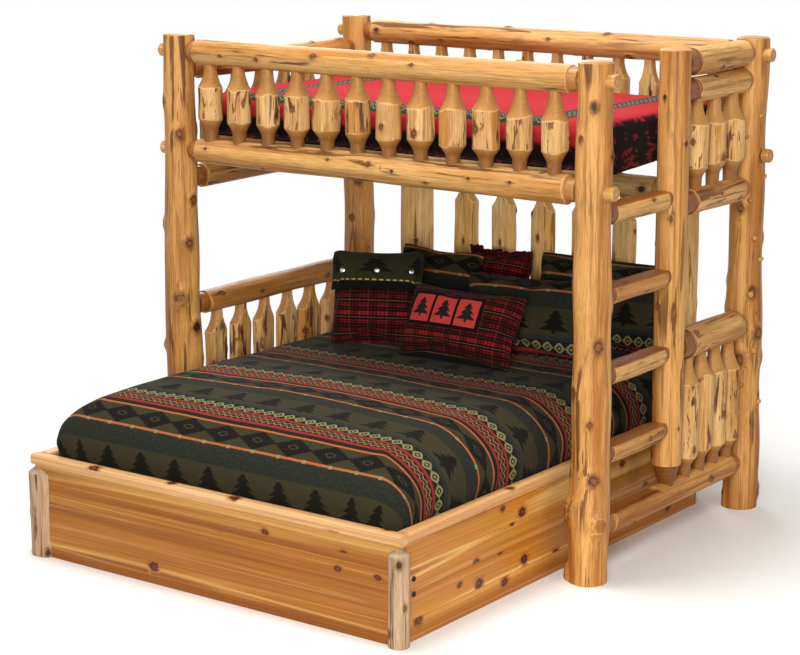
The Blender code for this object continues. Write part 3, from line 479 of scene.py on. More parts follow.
def piece(name, verts, faces, body, nodes, material, attributes, sharp=40):
    """A placed mesh with attributes at its vertices, whose edges are kept sharp from an angle in degrees."""
    mesh = bpy.data.meshes.new(name)
    mesh.from_pydata([tuple(v) for v in verts], [], faces)
    for key, values in attributes.items():
        layer = mesh.attributes.new(key, "FLOAT_VECTOR", "POINT")
        layer.data.foreach_set("vector", np.ascontiguousarray(values, np.float32).ravel())
    form = bmesh.new()
    form.from_mesh(mesh)
    bmesh.ops.recalc_face_normals(form, faces=form.faces)
    form.to_mesh(mesh)
    form.free()
    mesh.shade_smooth()
    mesh.set_sharp_from_angle(angle=math.radians(sharp))
    return placed(name, mesh, body, nodes, material)


def tube_faces(rings, sides):
    """Quads round a tube of rings, with a fan to a last vertex at each end."""
    faces = []
    for ring in range(rings - 1):
        here, above = ring * sides, (ring + 1) * sides
        for side in range(sides):
            after = (side + 1) % sides
            faces.append((here + side, here + after, above + after, above + side))
    top, first = (rings - 1) * sides, rings * sides
    for side in range(sides):
        after = (side + 1) % sides
        faces.append((first, after, side))
        faces.append((first + 1, top + side, top + after))
    return faces


def no_knot(*shape):
    """Knot offsets of points that have no knot near them."""
    return np.tile((FAR, FAR, KNOT_NONE), (*shape, 1))


def grain_fields(grain, offsets, marks, tip_mark):
    """What a wood's material reads at the points of a tube and at its two end points."""
    return {
        "grain": np.concatenate([grain.reshape(-1, 3), grain[[0, -1]].mean(1)]),
        "knot": np.concatenate([offsets.reshape(-1, 3), no_knot(2)]),
        "cut": np.concatenate([marks.reshape(-1, 3), [tip_mark] * 2]),
    }


def tube_piece(name, rng, spots, tips, heart, offsets, marks, tip_mark, body, nodes, material,
               sharp=40):
    """A turned or hewn piece of rings of points; heart is each point's place from the heart of the tree."""
    fields = grain_fields(heart + rng.uniform(-20, 20, 3), offsets, marks, tip_mark)
    fields["heart"] = np.concatenate([heart.reshape(-1, 3), np.zeros((2, 3))])
    verts = np.concatenate([spots.reshape(-1, 3), tips])
    faces = tube_faces(*spots.shape[:2])
    return piece(f"{name}_wood", verts, faces, body, nodes, material, fields, sharp)


def choose_knots(rng, length, girth, density, sizes):
    """Knots spread over a log's skin, as (round, along, size)."""
    knots = []
    for _ in range(int(length * density * 3)):
        spot = np.array((rng.uniform(0, girth), rng.uniform(0.02, length - 0.02)))
        clear = True
        for other_x, other_y, _ in knots:
            gap = abs(spot[0] - other_x)
            gap = min(gap, girth - gap)
            clear = clear and math.hypot(gap, spot[1] - other_y) > KNOT_SPACING
        if clear and len(knots) < length * density:
            knots.append((spot[0], spot[1], rng.uniform(*sizes)))
    return knots


def note_knot(offsets, across, along, size):
    """Writes each near point's offset from a knot's heart, and the knot's size."""
    near = np.hypot(across, along) < KNOT_REACH
    offsets[near] = np.stack([across, along, np.full(across.shape, size)], -1)[near]


def skin(name, along, angles, radius, density=6.5, sizes=(0.007, 0.014), rough=1.0, lumps=1.0):
    """Natural radius of a peeled log over its rings, with each vertex's offset from a knot near it."""
    rng = dice(name)
    reach, turn = np.meshgrid(along, angles, indexing="ij")
    field = np.zeros_like(reach)
    for waves in (0, 1, 2, 2, 3, 3, 4, 5):
        phase, pace = rng.uniform(0, math.tau), rng.uniform(-2.6, 2.6)
        wave = np.cos(waves * turn + phase + math.tau * pace * reach)
        field += rng.uniform(0.3, 1.0) * wave / (1 + 0.5 * waves)
    surface = radius * (1 + 0.017 * rough * field)
    length = along[-1] - along[0]
    mean = float(np.mean(radius))
    offsets = no_knot(*reach.shape)
    for around, place, size in choose_knots(rng, length, math.tau * mean, density, sizes):
        across = ((turn - around / mean + math.pi) % math.tau - math.pi) * mean
        lengthwise = reach - along[0] - place
        distance = np.hypot(across, lengthwise * 0.7)
        height = lumps * rng.uniform(0.2, 1.0) ** 1.5 * size
        surface = surface + height * np.exp(-(distance / (1.7 * size)) ** 2)
        surface = surface - 0.5 * height * np.exp(-(distance / (0.6 * size)) ** 2)
        note_knot(offsets, across, lengthwise, size)
    return surface, offsets


def log_rings(length, stations):
    """Places of a log's rings: even steps and the given stations."""
    count = max(int(length / LOG_STEP), 8)
    along = np.concatenate([np.linspace(0, length, count), np.array(stations, float)])
    along = np.unique(np.round(along, 4))
    along = along[np.concatenate([[True], np.diff(along) > 0.0008])]
    along[-1] = length
    return along


def cutter_marks(surface, cutter, mean, along, length, roots, tones):
    """How deep the cutter went (0 none, 1 shoulder, to 2 deeper or darker, 3 peg) and how pale ends are."""
    cut = np.clip((surface - cutter) / 0.0025 + 0.25, 0, 1)
    cut = cut + np.clip((surface - cutter) / mean * 3 - 0.6, 0, 1) * (cut > 0.99)
    tone = np.where(along < length / 2, *tones)[:, None]
    ends = np.clip(-tone, 0, 1) * (cut > 0.6)
    cut = np.where(cut > 0.6, np.clip(cut + tone, 1.0 * (cut > 0.99), 1.95), cut)
    if roots is not None:
        cut[(along < roots[0]) | (along > roots[1])] = 3.0
    return cut, ends


def log(name, start, end, natural, limit, body, nodes, slot, sides=LOG_SIDES, stations=(), flat=None,
        bend=0.003, roots=None, tones=(0.0, 0.0), timber=None, **look):
    """A log between two points; natural and limit give its skin's and its cutter's radius along it.

    flat is (height over the heart, first place, last place) of a sawn top, roots the places where pegs start,
    and tones how dark (above 0) or pale (below 0) the turned ends are. timber names the wood if it isn't the
    slot's own.
    """
    rng = dice(name + " bend")
    start, end = np.array(start, float), np.array(end, float)
    length = float(np.linalg.norm(end - start))
    along_axis = (end - start) / length
    upright = abs(along_axis[2]) > 0.9
    first = np.array((1.0, 0, 0)) if upright else np.cross((0, 0, 1.0), along_axis)
    second = np.cross(along_axis, first)
    along = log_rings(length, stations)
    angles = np.linspace(0, math.tau, sides, endpoint=False)
    base = np.array([natural(place) for place in along])
    surface, offsets = skin(name, along, angles, base[:, None], **look)
    cutter = np.array([limit(place) for place in along])[:, None]
    cut, ends = cutter_marks(surface, cutter, np.mean(base), along, length, roots, tones)
    radius = np.minimum(surface, cutter)
    sway = bend * np.sin(math.pi * along / length) ** 2
    lean = rng.uniform(0, math.tau)
    across = radius * np.cos(angles) + (sway * np.cos(lean + 3 * along / length))[:, None]
    up = radius * np.sin(angles) + (sway * np.sin(lean + 2 * along / length))[:, None]
    sawn = np.zeros_like(radius)
    if flat is not None:
        height, low, high = flat
        here = ((along >= low) & (along <= high))[:, None] & (up > height)
        up = np.where(here, height + 0.0008 * np.sin(along * 37)[:, None], up)
        sawn[here] = 1.0
    spots = start + along[:, None, None] * along_axis + across[..., None] * first + up[..., None] * second
    heart = np.stack([across, up, np.broadcast_to(along[:, None], across.shape)], -1)
    if upright:
        ends[-1] = 1.0
    tips = np.stack([spots[0].mean(0), spots[-1].mean(0)])
    marks = np.stack([cut, ends, sawn], -1)
    return tube_piece(name, rng, spots, tips, heart, offsets, marks, (0, 1.0, 0), body, nodes,
                      WOODS[timber or slot])


# Loft


def post_radius(height):
    return POST_BASE_RADIUS + (POST_TOP_RADIUS - POST_BASE_RADIUS) * height / POST_HEIGHT


def eased(length, radius, ease=EDGE_EASE):
    """A saw cut's eased edge at the far end of a log."""

    def limit(place):
        if place < length - ease:
            return radius + EASE_CLEAR
        return radius - ease * EASE_SLOPE * (1 - (length - place) / ease)

    return limit


def build_posts():
    stations = (POST_HEIGHT - EDGE_EASE, POST_HEIGHT - EDGE_EASE / 2)
    for name in ("front_left", "front_right", "back_left", "back_right"):
        node = f"{name}_post"
        spot = box_centre(node)
        log(node, (spot.x, spot.y, 0), (spot.x, spot.y, POST_HEIGHT), post_radius,
            eased(POST_HEIGHT, POST_TOP_RADIUS), "loft", [node], "cedar_log", stations=stations, sides=48,
            bend=0.010, rough=2.4, lumps=1.9, density=11.0, sizes=(0.007, 0.017))
    build_stubs()


def build_stubs():
    """Rounded stubs of cut branches on the back right post, turning round it on the way up."""
    spot = box_centre("back_right_post")
    rng = dice("stubs")
    for number in range(STUB_COUNT):
        height = STUB_FIRST_Z + number * STUB_RISE + rng.uniform(-0.03, 0.03)
        turn = rng.uniform(-1.6, 0.5)
        outward = Vector((math.cos(turn), math.sin(turn), 0.2)).normalized()
        size = rng.uniform(*STUB_SIZES)
        foot = Vector((spot.x, spot.y, height)) + outward * (post_radius(height) - STUB_SINK)
        length = STUB_SINK + size * STUB_REACH

        def rounded(place):
            return size * math.sqrt(max(1.35 - (place / length) ** 3 * 1.2, 0.1))

        log(f"back_right_post_stub_{number + 1}", foot, foot + outward * length, rounded, lambda place: 1.0,
            "loft", ["back_right_post"], "cedar_log", sides=14, bend=0.0, density=0.0)


def build_ladder_post():
    low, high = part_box("ladder_post")
    spot = (low + high) / 2
    length = high.z - low.z
    shoulder = LADDER_FOOT_Z - low.z
    taper = shoulder - (FLOOR_RAIL_Z + END_RAIL_RADIUS - low.z)
    top = eased(length, LADDER_RADIUS)

    def limit(place):
        if place < shoulder - taper:
            return LADDER_FOOT_RADIUS
        if place < shoulder:
            share = (place - shoulder + taper) / taper
            return LADDER_FOOT_RADIUS + LADDER_FOOT_FLARE * share ** 0.7
        return top(place)

    stations = (shoulder - taper, shoulder - 0.001, shoulder + 0.001, shoulder + 0.004, length - EDGE_EASE)
    log("ladder_post", (spot.x, spot.y, low.z), (spot.x, spot.y, high.z), lambda place: LADDER_RADIUS, limit,
        "loft", ["ladder_post"], "cedar_log", stations=stations, sides=44, lumps=1.4, density=11.0,
        sizes=(0.004, 0.009), tones=(0.8, 0.0))


def tenoned(length, roots, radius, tenon, domes, shares):
    """Cutter of a rail: a tenon to each root, then a dome of its own length and root share, then clear."""

    def limit(place):
        away, dome, root = min(zip((place - roots[0], roots[1] - place), domes, shares))
        tip = min(place, length - place)
        if away <= 0:
            return tenon - max(0.004 - tip, 0) * 0.8
        if away < dome:
            share = 1 - away / dome
            return radius * (root + (DOME_SHARE - root) * math.sqrt(1 - share * share))
        if away < dome + LIP_LENGTH:
            return radius * (DOME_SHARE + (1.02 - DOME_SHARE) * math.sqrt((away - dome) / LIP_LENGTH))
        return radius * 2

    return limit


def rail_stations(length, roots, domes):
    """Places along a rail where its cutter turns."""
    marks = [0.002, 0.004, length - 0.004, length - 0.002]
    for root, sense, dome in zip(roots, (1, -1), domes):
        places = [-0.001, 0.0015, 0.006, dome + 0.002, dome + LIP_LENGTH]
        places += [share * dome for share in (0.3, 0.55, 0.8, 1.0)]
        marks += [root + sense * place for place in places]
    return marks


def rail(node, tips, centres, faces, radius, slot, body, swell=0.0, tenon=TENON_RADIUS,
         domes=(DOME_LENGTH, DOME_LENGTH), shares=(ROOT_SHARE, ROOT_SHARE), **look):
    """A rail between two tenon tips; centres and faces are the hearts and radii of the logs that hold it."""
    start, end = Vector(tips[0]), Vector(tips[1])
    length = (end - start).length
    along = (end - start).normalized()
    roots = ((Vector(centres[0]) - start).dot(along) + faces[0] + SEAT_GAP,
             (Vector(centres[1]) - start).dot(along) - faces[1] - SEAT_GAP)
    log(node, start, end, lambda place: radius * (1 + swell * place / length),
        tenoned(length, roots, radius, tenon, domes, shares), body, [node], slot, sides=36, roots=roots,
        stations=rail_stations(length, roots, domes), **look)


def side_rail(node, y, z, swell=0.0, rough=1.5, timber=None):
    low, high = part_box(node)
    face = post_radius(z)
    rail(node, ((low.x, y, z), (high.x, y, z)), ((LEFT_X, y, z), (RIGHT_X, y, z)), (face, face),
         SIDE_RAIL_RADIUS, "cedar_log", "loft", swell=swell, tenon=THROUGH_TENON_RADIUS, tones=(0.3, -0.4),
         domes=(DOME_LENGTH, SHORT_DOME), shares=(NECK_SHARE, ROOT_SHARE), timber=timber, rough=rough,
         lumps=1.3, density=8.0, sizes=(0.004, 0.010))


def end_rail(node, x, z, span=("front", "back"), radius=END_RAIL_RADIUS, **look):
    """A rail along Y between two uprights."""
    low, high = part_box(node)
    face = post_radius(z)
    uprights = {"front": (FRONT_Y, face), "ladder": (LADDER_Y, LADDER_RADIUS), "back": (BACK_Y, face)}
    ends, faces = zip(*[uprights[name] for name in span])
    rail(node, ((x, low.y, z), (x, high.y, z)), [(x, y, z) for y in ends], faces, radius, "cedar_log", "loft",
         rough=1.6, lumps=1.4, sizes=(0.004, 0.010), **look)


def build_rails():
    for side, y in (("front", FRONT_Y), ("back", BACK_Y)):
        side_rail(f"{side}_top_rail", y, TOP_RAIL_Z, timber="tan_log")
    side_rail("front_lower_rail", FRONT_Y, LOWER_RAIL_Z, 0.1, 2.6, "barky_log")
    side_rail("back_lower_rail_and_spindles", BACK_Y, LOWER_RAIL_Z)
    for node, z in (("left_top_rail", LEFT_TOP_RAIL_Z), ("left_lower_rail_and_spindles", END_LOWER_RAIL_Z),
                    ("left_guard_rail", LEFT_GUARD_RAIL_Z), ("left_floor_rail_and_spindles", FLOOR_RAIL_Z)):
        end_rail(node, LEFT_X, z)
    for node, z, radius in (("right_top_rail", RIGHT_TOP_RAIL_Z, RIGHT_TOP_RAIL_RADIUS),
                            ("right_second_rail", RIGHT_SECOND_RAIL_Z, END_RAIL_RADIUS),
                            ("right_lower_rail_and_spindles", END_LOWER_RAIL_Z, END_RAIL_RADIUS),
                            ("right_guard_rail", RIGHT_GUARD_RAIL_Z, RIGHT_GUARD_RAIL_RADIUS)):
        end_rail(node, RIGHT_X, z, ("ladder", "back"), radius, domes=(LONG_DOME, SHORT_DOME),
                 tones=(1.0, -0.2), timber="barky_log", density=9.0)
    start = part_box("right_floor_rail_and_spindles")[0].y
    step = (FLOOR_RAIL_FLAT, FRONT_Y + 0.1 - start, LADDER_Y - LADDER_RADIUS - 0.02 - start)
    end_rail("right_floor_rail_and_spindles", RIGHT_X, FLOOR_RAIL_Z, flat=step)
    for number in range(RUNG_COUNT):
        node = f"ladder_rung_{number + 1}"
        low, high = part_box(node)
        end_rail(node, RIGHT_X, RUNG_FIRST_Z + number * RUNG_RISE, ("front", "ladder"), RUNG_RADIUS,
                 flat=(RUNG_FLAT, 0.0, high.y - low.y), domes=(SHORT_DOME, SHORT_DOME), tones=(0.9, 0.7),
                 timber="barky_log", density=9.0)


# Spindles


def hewn_outline(rng, angles, along, half, back, rough_side):
    """Radius of a split log round its heart at each height: a flat back and a few uneven hewn faces."""
    faces = [(rough_side + math.pi, back, 0.0)]
    for turn in (-1.75, -0.95, -0.1, 0.8, 1.7):
        faces.append((rough_side + turn + rng.uniform(-0.2, 0.2), half * rng.uniform(0.95, 1.04), 0.03))
    stack = np.zeros((len(along), len(angles)))
    for turn, distance, wander in faces:
        sway = 1 + wander * np.sin(math.tau * (along * rng.uniform(1.5, 4.0) + rng.uniform()))
        stack += np.maximum(np.cos(angles[None, :] - turn) / (distance * sway[:, None]), 0) ** 8
    return np.minimum(stack ** (-1 / 8), half * 1.08)


def spindle(name, node, foot, low, high, rough_side, slot="split_cedar", body="loft", width=SPINDLE_WIDTH,
            back=SPINDLE_BACK):
    """A split spindle with a bell cutter's shoulder above and a taper below, both ragged at the edge."""
    rng = dice(name)
    half = width / 2 * rng.uniform(0.93, 1.06)
    drop = SPINDLE_DROP * rng.uniform(0.9, 1.12)
    taper = SPINDLE_TAPER * rng.uniform(0.85, 1.1)
    bottom, top = low - SPINDLE_TENON, high + SPINDLE_TENON
    heights = np.linspace(bottom, top, int((top - bottom) / SPINDLE_STEP))
    angles = np.linspace(0, math.tau, SPINDLE_SIDES, endpoint=False)
    along = heights - bottom
    outline = hewn_outline(rng, angles, along, half, back, math.atan2(rough_side[1], rough_side[0]))
    rough, offsets = skin(name, along, angles, outline, 9.0, (0.004, 0.010), rough=1.4, lumps=1.5)
    above = np.clip((high - heights) / drop, 0, None)
    neck = SPINDLE_NECK_TOP + (half - SPINDLE_NECK_TOP) * above ** 2.2
    below = np.clip((heights - low) / taper, 0, None)
    bevel = np.clip((below - 0.45) / 0.55, 0, None)
    foot_radius = SPINDLE_NECK_LOW - 0.002 + 0.005 * np.minimum(below, 1)
    cone = foot_radius + (half - SPINDLE_NECK_LOW) * bevel ** 1.25
    cutter = np.minimum(neck, cone)[:, None] + 0.0012 * np.sin(2 * angles + rng.uniform(0, 6))[None, :]
    cut = np.clip((rough - cutter) / 0.002 + 0.25, 0, 1)
    lower = (heights < (low + high) / 2)[:, None]
    deepest = np.where(lower, 0.95, 0.2)
    cut = cut + np.clip((rough - cutter) / half * 1.9 - 0.3 + 0.35 * lower, 0, deepest) * (cut > 0.99)
    radius = np.minimum(rough, cutter)
    across, deep = radius * np.cos(angles), radius * np.sin(angles)
    spots = np.stack([foot[0] + across, foot[1] + deep, np.broadcast_to(heights[:, None], radius.shape)], -1)
    heart = np.stack([across, deep, np.broadcast_to(along[:, None], radius.shape)], -1)
    marks = np.stack([cut, np.zeros_like(cut), np.zeros_like(cut)], -1)
    tips = ((*foot, bottom), (*foot, top))
    tube_piece(name, rng, spots, tips, heart, offsets, marks, (1, 0, 0), body, [node], WOODS[slot], 32)


def row(first, last, count, pitch):
    """Places along a line, pitched evenly about its middle, as in the solids."""
    middle = (first + last) / 2
    return [middle + pitch * (number - (count - 1) / 2) for number in range(count)]


def build_spindles():
    high, low = TOP_RAIL_Z - SIDE_RAIL_RADIUS, LOWER_RAIL_Z + SIDE_RAIL_RADIUS
    for number, x in enumerate(row(LEFT_X, RIGHT_X, *SPINDLE_ROWS["side"]), 1):
        spindle(f"front_spindle_{number}", f"front_spindle_{number}", (x, FRONT_Y), low, high, (0, -1))
        spindle(f"back_spindle_{number}", "back_lower_rail_and_spindles", (x, BACK_Y), low, high, (0, 1))
    left_row = row(FRONT_Y, BACK_Y, *SPINDLE_ROWS["left"])
    plan = (
        ("left_end", "left_lower", LEFT_X, left_row, END_LOWER_RAIL_Z, LEFT_TOP_RAIL_Z - END_RAIL_RADIUS, -1),
        ("left_guard", "left_floor", LEFT_X, left_row, FLOOR_RAIL_Z, LEFT_GUARD_RAIL_Z - END_RAIL_RADIUS, -1),
        ("right_end", "right_lower", RIGHT_X, row(LADDER_Y, BACK_Y, *SPINDLE_ROWS["right_end"]),
         END_LOWER_RAIL_Z, RIGHT_SECOND_RAIL_Z - END_RAIL_RADIUS, 1),
        ("right_guard", "right_floor", RIGHT_X, row(LADDER_Y, BACK_Y, *SPINDLE_ROWS["right_guard"]),
         FLOOR_RAIL_Z, RIGHT_GUARD_RAIL_Z - RIGHT_GUARD_RAIL_RADIUS, 1),
    )
    for group, holder, x, places, base, top, side in plan:
        for number, y in enumerate(places, 1):
            spindle(f"{group}_spindle_{number}", f"{holder}_rail_and_spindles", (x, y),
                    base + END_RAIL_RADIUS, top, (side, 0))


# Headboard


def build_headboard():
    posts = []
    for side in ("left", "right"):
        node = f"headboard_{side}_post"
        low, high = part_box(node)
        x = (low.x + high.x) / 2
        radius = (high.x - low.x) / 2 * HEADBOARD_POST_SHARE
        y = high.y - radius
        posts.append((x, y, radius))
        log(node, (x, y, 0), (x, y, high.z), lambda place: radius, eased(high.z, radius), "lower_bed", [node],
            "pale_log", stations=(high.z - EDGE_EASE,), bend=0.002, rough=1.0, lumps=0.6, density=6.0)
    _, y, face = posts[0]
    low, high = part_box("headboard_top_rail")
    top_z = box_centre("headboard_top_rail").z
    radius = (high.z - low.z) / 2
    low_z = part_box("headboard_low_rail_and_slabs")[0].z + radius
    for node, z in (("headboard_top_rail", top_z), ("headboard_low_rail_and_slabs", low_z)):
        tips = ((low.x, y, z), (high.x, y, z))
        rail(node, tips, [(post[0], y, z) for post in posts], (face, face), radius, "pale_log", "lower_bed",
             rough=1.2)
    for number, x in enumerate(row(posts[0][0], posts[1][0], SLAB_COUNT, SLAB_PITCH), 1):
        spindle(f"headboard_slab_{number}", "headboard_low_rail_and_slabs", (x, y), low_z + radius,
                top_z - radius, (0, 1), "pale_log", "lower_bed", SLAB_WIDTH, SLAB_BACK)


# Boards


def board_outline(wide, tall, ease):
    """Points round a board's cross section, with eased corners."""
    outline = []
    corners = ((0, 0), (wide, 0), (wide, tall), (0, tall))
    for number, (u, v) in enumerate(corners):
        after_u, after_v = corners[(number + 1) % 4]
        reach = math.hypot(after_u - u, after_v - v)
        middle = (min(max(u, ease), wide - ease), min(max(v, ease), tall - ease))
        first = math.radians(180 + 90 * number)
        for turn in np.linspace(first, first + math.pi / 2, 4)[:-1]:
            outline.append((middle[0] + ease * math.cos(turn), middle[1] + ease * math.sin(turn)))
        for share in np.linspace(ease / reach, 1 - ease / reach, max(int(reach / BOARD_STEP), 1) + 1)[:-1]:
            outline.append((u + (after_u - u) * share, v + (after_v - v) * share))
    return np.array(outline)


def strip(low, high, axis, rng, density, ease):
    """One board as a grid round its long axis, with eased edges: vertices, faces and attributes."""
    low, high = np.array(low, float), np.array(high, float)
    across, up = [place for place in range(3) if place != axis]
    length = high[axis] - low[axis]
    along = np.linspace(0, length, max(int(length / BOARD_STEP), 2))
    outline = board_outline(high[across] - low[across], high[up] - low[up], ease)
    shape = (len(along), len(outline))
    spots, grain = np.zeros((*shape, 3)), np.zeros((*shape, 3))
    spots[..., axis] = low[axis] + along[:, None]
    spots[..., across] = low[across] + outline[:, 0]
    spots[..., up] = low[up] + outline[:, 1]
    offsets = no_knot(*shape)
    perimeter = np.concatenate([[0], np.cumsum(np.hypot(*np.diff(outline, axis=0).T))])
    for around, place, size in choose_knots(rng, length, perimeter[-1], density, BOARD_KNOTS):
        note_knot(offsets, *np.broadcast_arrays(perimeter - around, along[:, None] - place), size)
    grain[..., :2] = outline + rng.uniform(-0.04, 0.04, 2)
    grain[..., 2] = along[:, None]
    fields = grain_fields(grain + rng.uniform(-20, 20, 3), offsets, np.zeros((*shape, 3)), (0, 0, 0))
    verts = np.concatenate([spots.reshape(-1, 3), spots[[0, -1]].mean(1)])
    return verts, tube_faces(*shape), fields


def boards(name, node, low, high, axis, stack_axis, count, slot, body, density=3.2, ease=BOARD_EASE,
           look=None):
    """A panel of boards glued edge to edge, each with its own grain."""
    rng = dice(name)
    verts, faces, total = [], [], 0
    fields = {"grain": [], "knot": [], "cut": []}
    cuts = np.linspace(low[stack_axis], high[stack_axis], count + 1)
    cuts[1:-1] += rng.uniform(-0.012, 0.012, count - 1)
    for number in range(count):
        strip_low, strip_high = list(low), list(high)
        strip_low[stack_axis], strip_high[stack_axis] = cuts[number], cuts[number + 1]
        spots, quads, marks = strip(strip_low, strip_high, axis, rng, density, ease)
        verts.append(spots)
        faces += [tuple(total + place for place in face) for face in quads]
        total += len(spots)
        for key, values in marks.items():
            fields[key].append(values)
    joined = {key: np.concatenate(values) for key, values in fields.items()}
    piece(f"{name}_wood", np.concatenate(verts), faces, body, [node], WOODS[look or slot], joined, 30)


def build_boards():
    # The foot and head panels take the darker copy of the board wood, which is painted shade
    for node in ("foot_panel", "head_panel"):
        boards(node, node, *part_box(node), 0, 2, PANEL_BOARDS, "cedar_board", "lower_bed", look="end_board_painted_shade")
    deck_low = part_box("lower_deck")[0].z
    for side in ("left", "right"):
        node = f"{side}_panel"
        low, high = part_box(node)
        panel_low, panel_high, cleat_low, cleat_high = low.copy(), high.copy(), low.copy(), high.copy()
        if side == "left":
            panel_high.x = cleat_low.x = low.x + PANEL_THICKNESS
        else:
            panel_low.x = cleat_high.x = high.x - PANEL_THICKNESS
        cleat_low.y, cleat_high.y = low.y + CLEAT_SIZE, high.y - CLEAT_SIZE
        cleat_low.z, cleat_high.z = deck_low - CLEAT_SIZE, deck_low
        boards(node, node, panel_low, panel_high, 1, 2, PANEL_BOARDS, "cedar_board", "lower_bed")
        boards(f"{side}_cleat", node, cleat_low, cleat_high, 1, 2, 1, "cedar_board", "lower_bed")
        build_bolts(side, low.x if side == "left" else high.x, -1 if side == "left" else 1)
    for node, axis in (("foot_cap", 0), ("left_cap", 1), ("right_cap", 1)):
        boards(node, node, *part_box(node), axis, 2, 1, "cedar_board", "lower_bed", 3.0, CAP_EASE, "cap_board")
    for node, stack, count, body in (("front_ledger", 2, 1, "loft"), ("back_ledger", 2, 1, "loft"),
                                     ("upper_deck", 1, 1, "loft"), ("lower_deck", 1, 2, "lower_bed")):
        boards(node, node, *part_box(node), 0, stack, count, "deck_wood", body, 0.5)


def button(name, spot, facing, radius, rise, body, material):
    """A domed disc on a surface, such as a bolt head or a button."""
    form = bmesh.new()
    bmesh.ops.create_uvsphere(form, u_segments=20, v_segments=10, radius=1.0)
    for vert in form.verts:
        vert.co.z = max(vert.co.z, -0.15)
    turn = Vector(facing).to_track_quat("Z", "Y").to_matrix().to_4x4()
    matrix = Matrix.Translation(spot) @ turn @ Matrix.Diagonal((radius, radius, rise, 1.0))
    bmesh.ops.transform(form, matrix=matrix, verts=form.verts)
    placed(name, smooth_mesh(name, form), body, [], material)


def build_bolts(side, x, outward):
    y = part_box("foot_panel")[0].y + BOLT_REACH
    for number, z in enumerate(BOLT_HEIGHTS, 1):
        button(f"{side}_bolt_{number}", (x, y, z), (outward, 0, 0), BOLT_RADIUS, BOLT_RISE, "lower_bed",
               BLACK_BOLT)


def build_corner_posts():
    """Logs round the foot corners; the quarter inside the panels is left out."""
    foot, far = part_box("foot_panel")
    for side, edge, inward in (("left", foot.x, 1), ("right", far.x, -1)):
        node = f"foot_{side}_corner_post"
        low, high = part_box(node)
        radius = CORNER_RADII[side]
        x, y = (low.x if side == "left" else high.x) + inward * radius, low.y + radius
        stations = (high.z - CORNER_CHAMFER, high.z - CORNER_CHAMFER / 2)
        made = log(node, (x, y, 0), (x, y, high.z), lambda place: radius,
                   eased(high.z, radius, CORNER_CHAMFER), "lower_bed", [node], "peeled_white",
                   stations=stations, bend=0.0, rough=1.6, density=14.0)
        form = bmesh.new()
        form.from_mesh(made.data)
        for spot, normal in (((edge, 0, 0), (1, 0, 0)), ((0, foot.y, 0), (0, 1, 0))):
            parts = form.verts[:] + form.edges[:] + form.faces[:]
            bmesh.ops.bisect_plane(form, geom=parts, plane_co=spot, plane_no=normal)
        centres = [(face, face.calc_center_median()) for face in form.faces]
        inside = [face for face, spot in centres if (spot.x - edge) * inward > 0 and spot.y > foot.y]
        bmesh.ops.delete(form, geom=inside, context="FACES")
        form.to_mesh(made.data)
        form.free()


# Cloth materials


def row_share(place, pitch):
    """Distance from the middle of the nearest motif of a row."""
    return place.nodes.math("PINGPONG", place, pitch / 2)


def pines(across, rise, pitch, foot, height):
    """Mask of a row of three-tiered pine trees that stand on a line."""
    away = row_share(across, pitch)
    share = (rise - foot) / height
    tier = share.nodes.math("FRACT", share * 3.0)
    spread = (tier * -0.5 + 1.0) * (share * -0.8 + 1.0)
    boughs = (away < spread * (0.4 * pitch)) * share.between(0.0, 1.0)
    trunk = (away < 0.05 * pitch) * share.between(-0.16, 0.1)
    return boughs | trunk


def diamonds(across, rise, pitch, middle, height, step, hole=0.32):
    """Mask of a row of stepped diamonds with an open heart."""
    away = rise.nodes.math("SNAP", row_share(across, pitch), step)
    off = rise.nodes.math("SNAP", abs(rise - middle), step)
    size = away / (0.46 * pitch) + off / (height / 2)
    return size.between(hole, 1.0) | (size < hole * 0.45)


def zigzag(across, rise, pitch, middle, swing, half):
    """Mask of a zigzag line."""
    wave = row_share(across, pitch) * (4 / pitch) - 1.0
    return abs(rise - middle - wave * swing) < half


def cloth_shader(name):
    """A cloth's shader, with its flat places and those across and along it."""
    s = Shader(name)
    cloth = s.attribute("cloth")
    across, along, _ = s.split(cloth)
    return s, cloth, across, along


def wool(s, cloth, colour):
    """Finishes a woollen cloth: knitted mottling, a soft sheen and a fine relief."""
    knit = s.noise(cloth, (330, 330, 330), 2, 0.6)
    soft = s.noise(cloth, (9, 9, 9), 2)
    colour = s.mix(1.0, colour, s.ramp(knit, ((0.3, "A8A8A8"), (0.68, "FFFFFF"))), "MULTIPLY")
    s.bump(soft * 0.6 + knit, 0.0012, 0.6)
    return s.done(colour, 0.95, Specular_IOR_Level=0.06, Sheen_Weight=0.02, Sheen_Roughness=0.6)


OLIVE, TEAL, CHARCOAL, RED = "3F3A25", "2D332D", "21221D", "9C2D28"
ORANGE, GOLD, DARK = "BC6A38", "968C58", "191812"
SPREAD_PERIOD = 0.48
SPREAD_BANDS = (
    (0.0, OLIVE), (0.118, TEAL), (0.190, ORANGE), (0.200, OLIVE), (0.290, ORANGE), (0.299, CHARCOAL),
    (0.320, RED), (0.334, CHARCOAL), (0.386, RED), (0.400, CHARCOAL), (0.458, TEAL),
)


